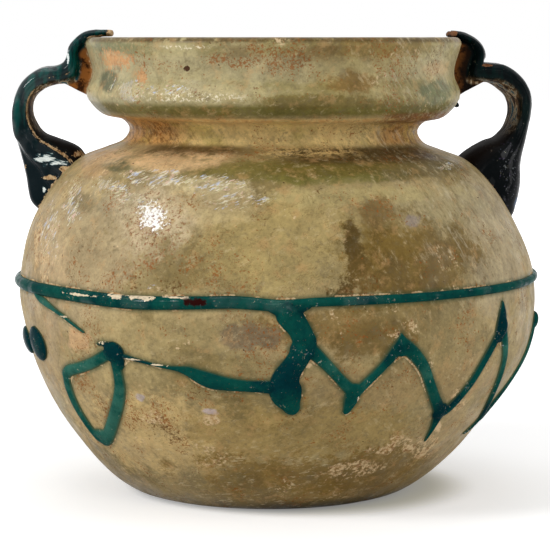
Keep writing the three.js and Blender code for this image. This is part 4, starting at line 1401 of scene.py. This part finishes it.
def makeJarGlass():
    material, w, sockets, place = newMaterial("jarGlass", finish["shader"])
    split = w.add("SeparateXYZ", {0: place})
    height = w.times(split[2], 1000)
    turn = w.math("ARCTAN2", split[0], w.times(split[1], -1))
    turn = w.times(turn, 180 / math.pi)  # degrees round from the front
    gap, upper, inside = w.own("trailGap"), w.own("trailUpper"), w.own("inside")
    outside = w.minus(1, inside)

    # noises that many layers share
    broad = w.noise(place, 7, 5, 0.65)
    small = w.noise(place, 1.5, 4, 0.75)
    fine = w.noise(place, 0.6, 3, 0.7)
    edge = w.minus(w.plus(w.times(broad, 1.6), w.times(small, 1.2)), 1.4)
    fineEdge = w.times(w.minus(w.plus(small, w.times(fine, 1.5)), 1.25), 1.3)
    # streaks that run with the curve of the shoulder on either side
    leftStreaks = w.noise(w.stretched(place, (1.9, 1.4, 0.9), -26), 1.2, 4, 0.75)
    steepStreaks = w.noise(w.stretched(place, (2.2, 1.6, 0.9), -62), 1.2, 4, 0.75)
    rightStreaks = w.noise(w.stretched(place, (2, 1.6, 0.9), 56), 1.4, 4, 0.72)
    slanted = w.blend(w.ramp(turn, 12, 26), leftStreaks, rightStreaks)
    slanted = w.blend(w.ramp(turn, -44, -54), slanted, steepStreaks)

    def spot(azimuth, level, across, tall, wild=1, ragged=edge):
        size = (across, finish["patchDepth"], tall)
        return blotch(w, place, onJar(azimuth, level), size, w.times(ragged, wild))

    def sector(low, high, soft):
        # between two azimuths
        return w.band(turn, low, high, soft)

    def belt(low, high, soft):
        # between two heights
        return w.band(height, low, high, soft)

    def paint(mask, shade, strength=1):
        nonlocal base
        base = w.layer(base, mask, shade, strength)

    # the glass under everything: three tones in clouds
    clouds = w.noise(place, 26, 5, 0.6, 0.4)
    base = w.shades(clouds, finish["olive"], (0.38, 0.52, finish["khaki"]), (0.52, 0.66, finish["tan"]))
    for azimuth, level, across, tall, shade, strength, wild in finish["patches"]:
        paint(spot(azimuth, level, across, tall, wild), tone(*shade), strength)

    # the collar: smooth grey-green at the left, a painted highlight along its bulge on the left, a green line
    # of painted shadow under it, a brown edge on the lip
    collar = w.ramp(height, 76.4, 77.6)
    collarTone = w.mix(w.ramp(broad, 0.4, 0.6), tone(152, 140, 92), tone(178, 166, 122))
    for mask, shade, strength in [
        (w.ramp(turn, -34, -54), tone(174, 168, 132), 0.7),
        (belt(84, 88.6, 0.8), tone(184, 172, 134), 0.55),
        # painted highlight along the bulge on the left, where the light falls
        (w.times(belt(80.2, 82.6, 0.7), w.ramp(turn, 4, -16)), tone(196, 180, 134), 0.6),
        (sector(8, 42, 8), tone(130, 110, 42), 0.42),
        # painted shade under the bulge, in green
        (belt(77, 79.2, 0.6), tone(98, 92, 36), 0.85),
    ]:
        collarTone = w.layer(collarTone, mask, shade, strength)
    paint(collar, collarTone, 0.92)
    for azimuth, level, across, tall, shade, strength, wild in finish["collarPatches"]:
        paint(spot(azimuth, level, across, tall, wild), tone(*shade), strength)
    for bare in finish["bareSpots"]:
        paint(spot(*bare, 1.5, fineEdge), finish["peach"], 0.85)
        paint(spot(*bare, 3, fineEdge), tone(190, 128, 72), 0.5)
    paint(w.times(w.ramp(height, 90.6, 91.4), w.ramp(small, 0.3, 0.5)), tone(82, 62, 26), 0.85)
    lipStain = w.times(belt(87.6, 90.6, 0.8), w.ramp(broad, 0.42, 0.56), sector(-16, 34, 8))
    paint(lipStain, tone(104, 76, 32), 0.6)

    # the neck: orange-brown at both sides, khaki between; painted shade in its fold, with soil crust
    sides = w.most(w.ramp(turn, -24, -48), w.ramp(turn, 34, 52))
    neckTone = w.mix(sides, tone(218, 192, 130), tone(194, 148, 86))
    neckTone = w.layer(neckTone, w.ramp(broad, 0.5, 0.64), tone(176, 160, 84), 0.5)
    strokes = w.ramp(w.noise(w.stretched(place, (2.2, 2.2, 0.8), 62), 1, 4, 0.75), 0.48, 0.58)
    neckTone = w.layer(neckTone, w.times(strokes, w.blend(sides, 0.3, 1)), tone(100, 62, 28), 0.65)
    paint(w.times(w.ramp(height, 70.4, 71.8), w.ramp(height, 76.9, 76.2)), neckTone)
    paint(w.times(belt(75.7, 76.5, 0.35), w.ramp(small, 0.4, 0.55)), tone(206, 158, 98), 0.8)
    rough = w.times(belt(75.2, 77.4, 0.4), w.ramp(turn, 30, 46), w.ramp(small, 0.38, 0.5))
    paint(rough, tone(120, 70, 34), 0.85)
    fold = belt(69.5, 71.3, 0.6)
    # painted shade: a dark band in the fold at the foot of the neck, darker and wider on the right
    paint(w.times(fold, sector(-50, -9, 9)), tone(70, 46, 16), 0.8)
    paint(w.times(belt(68.2, 70.8, 0.6), sector(2, 66, 8)), tone(66, 48, 16), 0.92)
    crust = w.times(fold, sector(-4, 30, 5), w.ramp(small, 0.45, 0.55))
    paint(crust, tone(206, 176, 116), 0.8)
    paint(w.times(crust, w.ramp(fine, 0.55, 0.6)), tone(96, 60, 26), 0.8)
    shoulder = w.times(belt(67.6, 70, 0.8), sector(-66, -14, 4))
    paint(w.times(shoulder, w.ramp(edge, 0.25, -0.2)), tone(220, 182, 134), 0.8)

    # painted shade: the foot darkens to deep olive towards its lower edge, most on the right away from the
    # light; the inside is dull with soil
    paint(w.times(w.ramp(height, 11, 2), w.ramp(turn, -30, 6, 0.3, 1)), tone(126, 98, 38), 0.7)
    paint(w.times(w.ramp(height, 3.6, 0.6), w.ramp(turn, -24, 6, 0.4, 1)), tone(54, 46, 8), 0.92)
    paint(inside, w.mix(w.ramp(broad, 0.38, 0.62), tone(112, 90, 54), tone(164, 140, 98)), 0.85)

    # clouds, grain and slanted streaks
    base = w.group(grainGroup, Place=place, Color=base, Clouds=1.3, Fine=0.8)["Color"]
    warm = w.noise(place, 3.2, 5, 0.7)
    paint(w.ramp(warm, 0.52, 0.7), tone(186, 146, 96), 0.45)
    paint(w.ramp(warm, 0.46, 0.3), tone(126, 112, 82), 0.45)
    paint(w.ramp(slanted, 0.54, 0.7), tone(204, 184, 140), 0.4)
    paint(w.ramp(slanted, 0.44, 0.3), tone(96, 78, 40), 0.36)
    # fine cracks across the smooth middle
    crack = w.apart(w.noise(place, 4.5, 5, 0.7, 0.6), 0.5)
    paint(w.times(w.ramp(crack, 0.014, 0.002), spot(2, 53, 22, 12, 1.2), outside), tone(104, 80, 42), 0.45)

    # soil: peach dust in patches, and beside the trails, above the belly trail and below the others
    dust = [w.times(spot(*patch, 1.2), most) for *patch, most in finish["dust"]]
    dusty = w.times(w.most(w.ramp(w.noise(place, 11, 4, 0.6), 0.45, 0.68, 0.12, 0.44), *dust), outside)
    above = w.times(belt(42.4, 46.6, 0.5), w.ramp(upper, -0.2, 0.6))
    below = w.times(w.ramp(height, 42.4, 41.6), w.ramp(upper, 0.2, -0.6))
    beside = w.times(w.ramp(gap, 0.6, 0.15), w.plus(w.times(w.most(above, below), 0.5), 0.12))
    beside = w.times(beside, w.ramp(w.noise(place, 4), 0.36, 0.56, 0.25, 1), outside)
    soil = w.group(soilGroup, Place=place, Amount=w.most(beside, dusty))
    paint(w.times(w.ramp(gap, 0.95, -0.2), outside), tone(52, 74, 50), 0.7)
    paint(soil["Mask"], soil["Color"], 0.8)
    for stroke in finish["strokes"]:
        paint(spot(*stroke, 1.2, fineEdge), tone(226, 196, 152), 0.85)

    # brown specks in clusters, and a few dark pits
    upperLeft = w.times(sector(-58, -2, 10), belt(46, 60, 4))
    lowerLeft = w.times(sector(-44, -8, 6), belt(14, 24, 3))
    acrossCollar = w.times(belt(79.5, 90.5, 1.5), sector(-34, 40, 8))
    dense = w.times(w.most(upperLeft, lowerLeft, w.times(acrossCollar, 0.8)), 0.22)
    cluster = w.plus(w.ramp(w.noise(place, 8, 5, 0.66), 0.42, 0.64, 0.1, 0.6), dense)
    cluster = w.most(cluster, *[w.times(spot(*knot, 2, fineEdge), most) for *knot, most in finish["knots"]])
    smooth = w.most(spot(4, 66, 26, 2.4, 0.8), spot(-56, 90.1, 5, 1.1, 0.4), w.times(spot(5, 54, 13, 9), 0.5))
    cluster = w.times(cluster, w.minus(1, smooth))
    flecks = w.group(flecksGroup, Place=place, Amount=cluster, Fineness=1900)["Mask"]
    tiny = w.group(flecksGroup, Place=place, Amount=w.times(cluster, 0.98), Fineness=3400)["Mask"]
    speckle = w.most(flecks, w.times(tiny, 0.8))
    paint(speckle, w.mix(w.ramp(broad, 0.5, 0.66), finish["speck"], finish["darkSpeck"]), 0.75)
    pits = w.group(flecksGroup, Place=w.stretched(place, (1, 1, 1), 40), Amount=0.18, Fineness=1200)["Mask"]
    pits = w.most(pits, w.ramp(spot(-26.5, 86, 0.55, 0.6, 1.1, fineEdge), 0.3, 0.6))
    paint(pits, finish["pit"], 0.95)

    # pale flakes: pastel slivers on the shoulder; where the light falls, a painted highlight: a white patch
    # in a pale halo
    flakes = [w.times(spot(*patch, 1.2), most) for *patch, most in finish["flakes"]]
    amount = w.most(w.ramp(w.noise(place, 13), 0.5, 0.72, 0.16, 0.36), *flakes)
    along, steep = w.stretched(place, (2.6, 1.2, 0.5), -24), w.stretched(place, (2.2, 1, 0.6), -62)
    side = w.ramp(turn, -46, -52)
    along, steep = w.vector("MULTIPLY", along, w.minus(1, side)), w.vector("MULTIPLY", steep, side)
    film = w.group(filmGroup, Place=w.vector("ADD", along, steep), Amount=amount)
    paint(film["Mask"], film["Color"], 0.75)
    # painted highlight: a pale halo and a white patch where the light falls
    paint(w.times(spot(-28, 58, 7.5, 6, 1.6), w.ramp(small, 0.4, 0.56)), tone(216, 196, 160), 0.6)
    shoulderHighlight = spot(-28.5, 58.6, 2, 2, 2.2, fineEdge)
    paint(shoulderHighlight, tone(252, 250, 244), 0.95)
    # painted highlights: cream glints along the rim and the collar's bulge on the left
    rimGlints = w.times(belt(89.7, 90.4, 0.3), sector(-34, -20, 3))
    bulgeGlints = w.times(belt(79.9, 81.4, 0.5), sector(-40, -10, 5))
    paint(w.times(w.most(rimGlints, bulgeGlints), w.ramp(fine, 0.52, 0.6)), tone(244, 234, 204), 0.9)
    worms = w.ramp(w.noise(place, 0.5, 4, 0.65, 0.3), 0.555, 0.6)
    paint(w.times(spot(-27.6, 57.6, 6, 6, 1.2), worms), tone(128, 72, 32), 0.8)

    # cream scratches low on the belly and slanted ones far right
    dashes = w.noise(w.stretched(place, (2.6, 2.6, 0.55), -6), 1, 3, 0.7)
    lowBelly = w.times(sector(-40, 24, 14), w.ramp(height, 20, 11))
    paint(w.times(w.ramp(dashes, 0.6, 0.68), lowBelly), finish["cream"], 0.38)
    scratches = w.noise(w.stretched(place, (2.6, 2, 0.55), 58), 1.4, 4, 0.7)
    farRight = w.times(w.ramp(turn, 28, 42), w.ramp(height, 46, 54))
    paint(w.times(w.ramp(scratches, 0.54, 0.66), farRight), tone(202, 188, 156), 0.4)
    paint(w.times(w.ramp(scratches, 0.46, 0.36), farRight), tone(106, 88, 56), 0.4)
    w.feed(base, sockets["Base Color"])

    dull = w.ramp(w.noise(place, 6, 4, 0.6), 0.35, 0.7, 0.34, 0.6)
    w.feed(w.blend(w.most(soil["Mask"], speckle), dull, 0.85), sockets["Roughness"])
    shine = w.times(w.most(shoulderHighlight, w.times(film["Mask"], 0.5)), 0.6)
    w.feed(w.most(shine, w.times(w.minus(w.times(collar, outside), pits), 0.12)), sockets["Coat Weight"])
    relief = w.plus(w.times(fine, 0.25), w.times(small, 0.4), w.times(broad, 0.6), w.times(slanted, 0.35))
    relief = w.plus(relief, w.times(film["Height"], 0.4), w.times(soil["Height"], 0.7))
    w.feed(w.bump(w.minus(relief, w.times(w.most(speckle, pits), 0.3)), 0.5, 0.4), sockets["Normal"])
    return material


jarGlass = makeJarGlass()
makeJar()
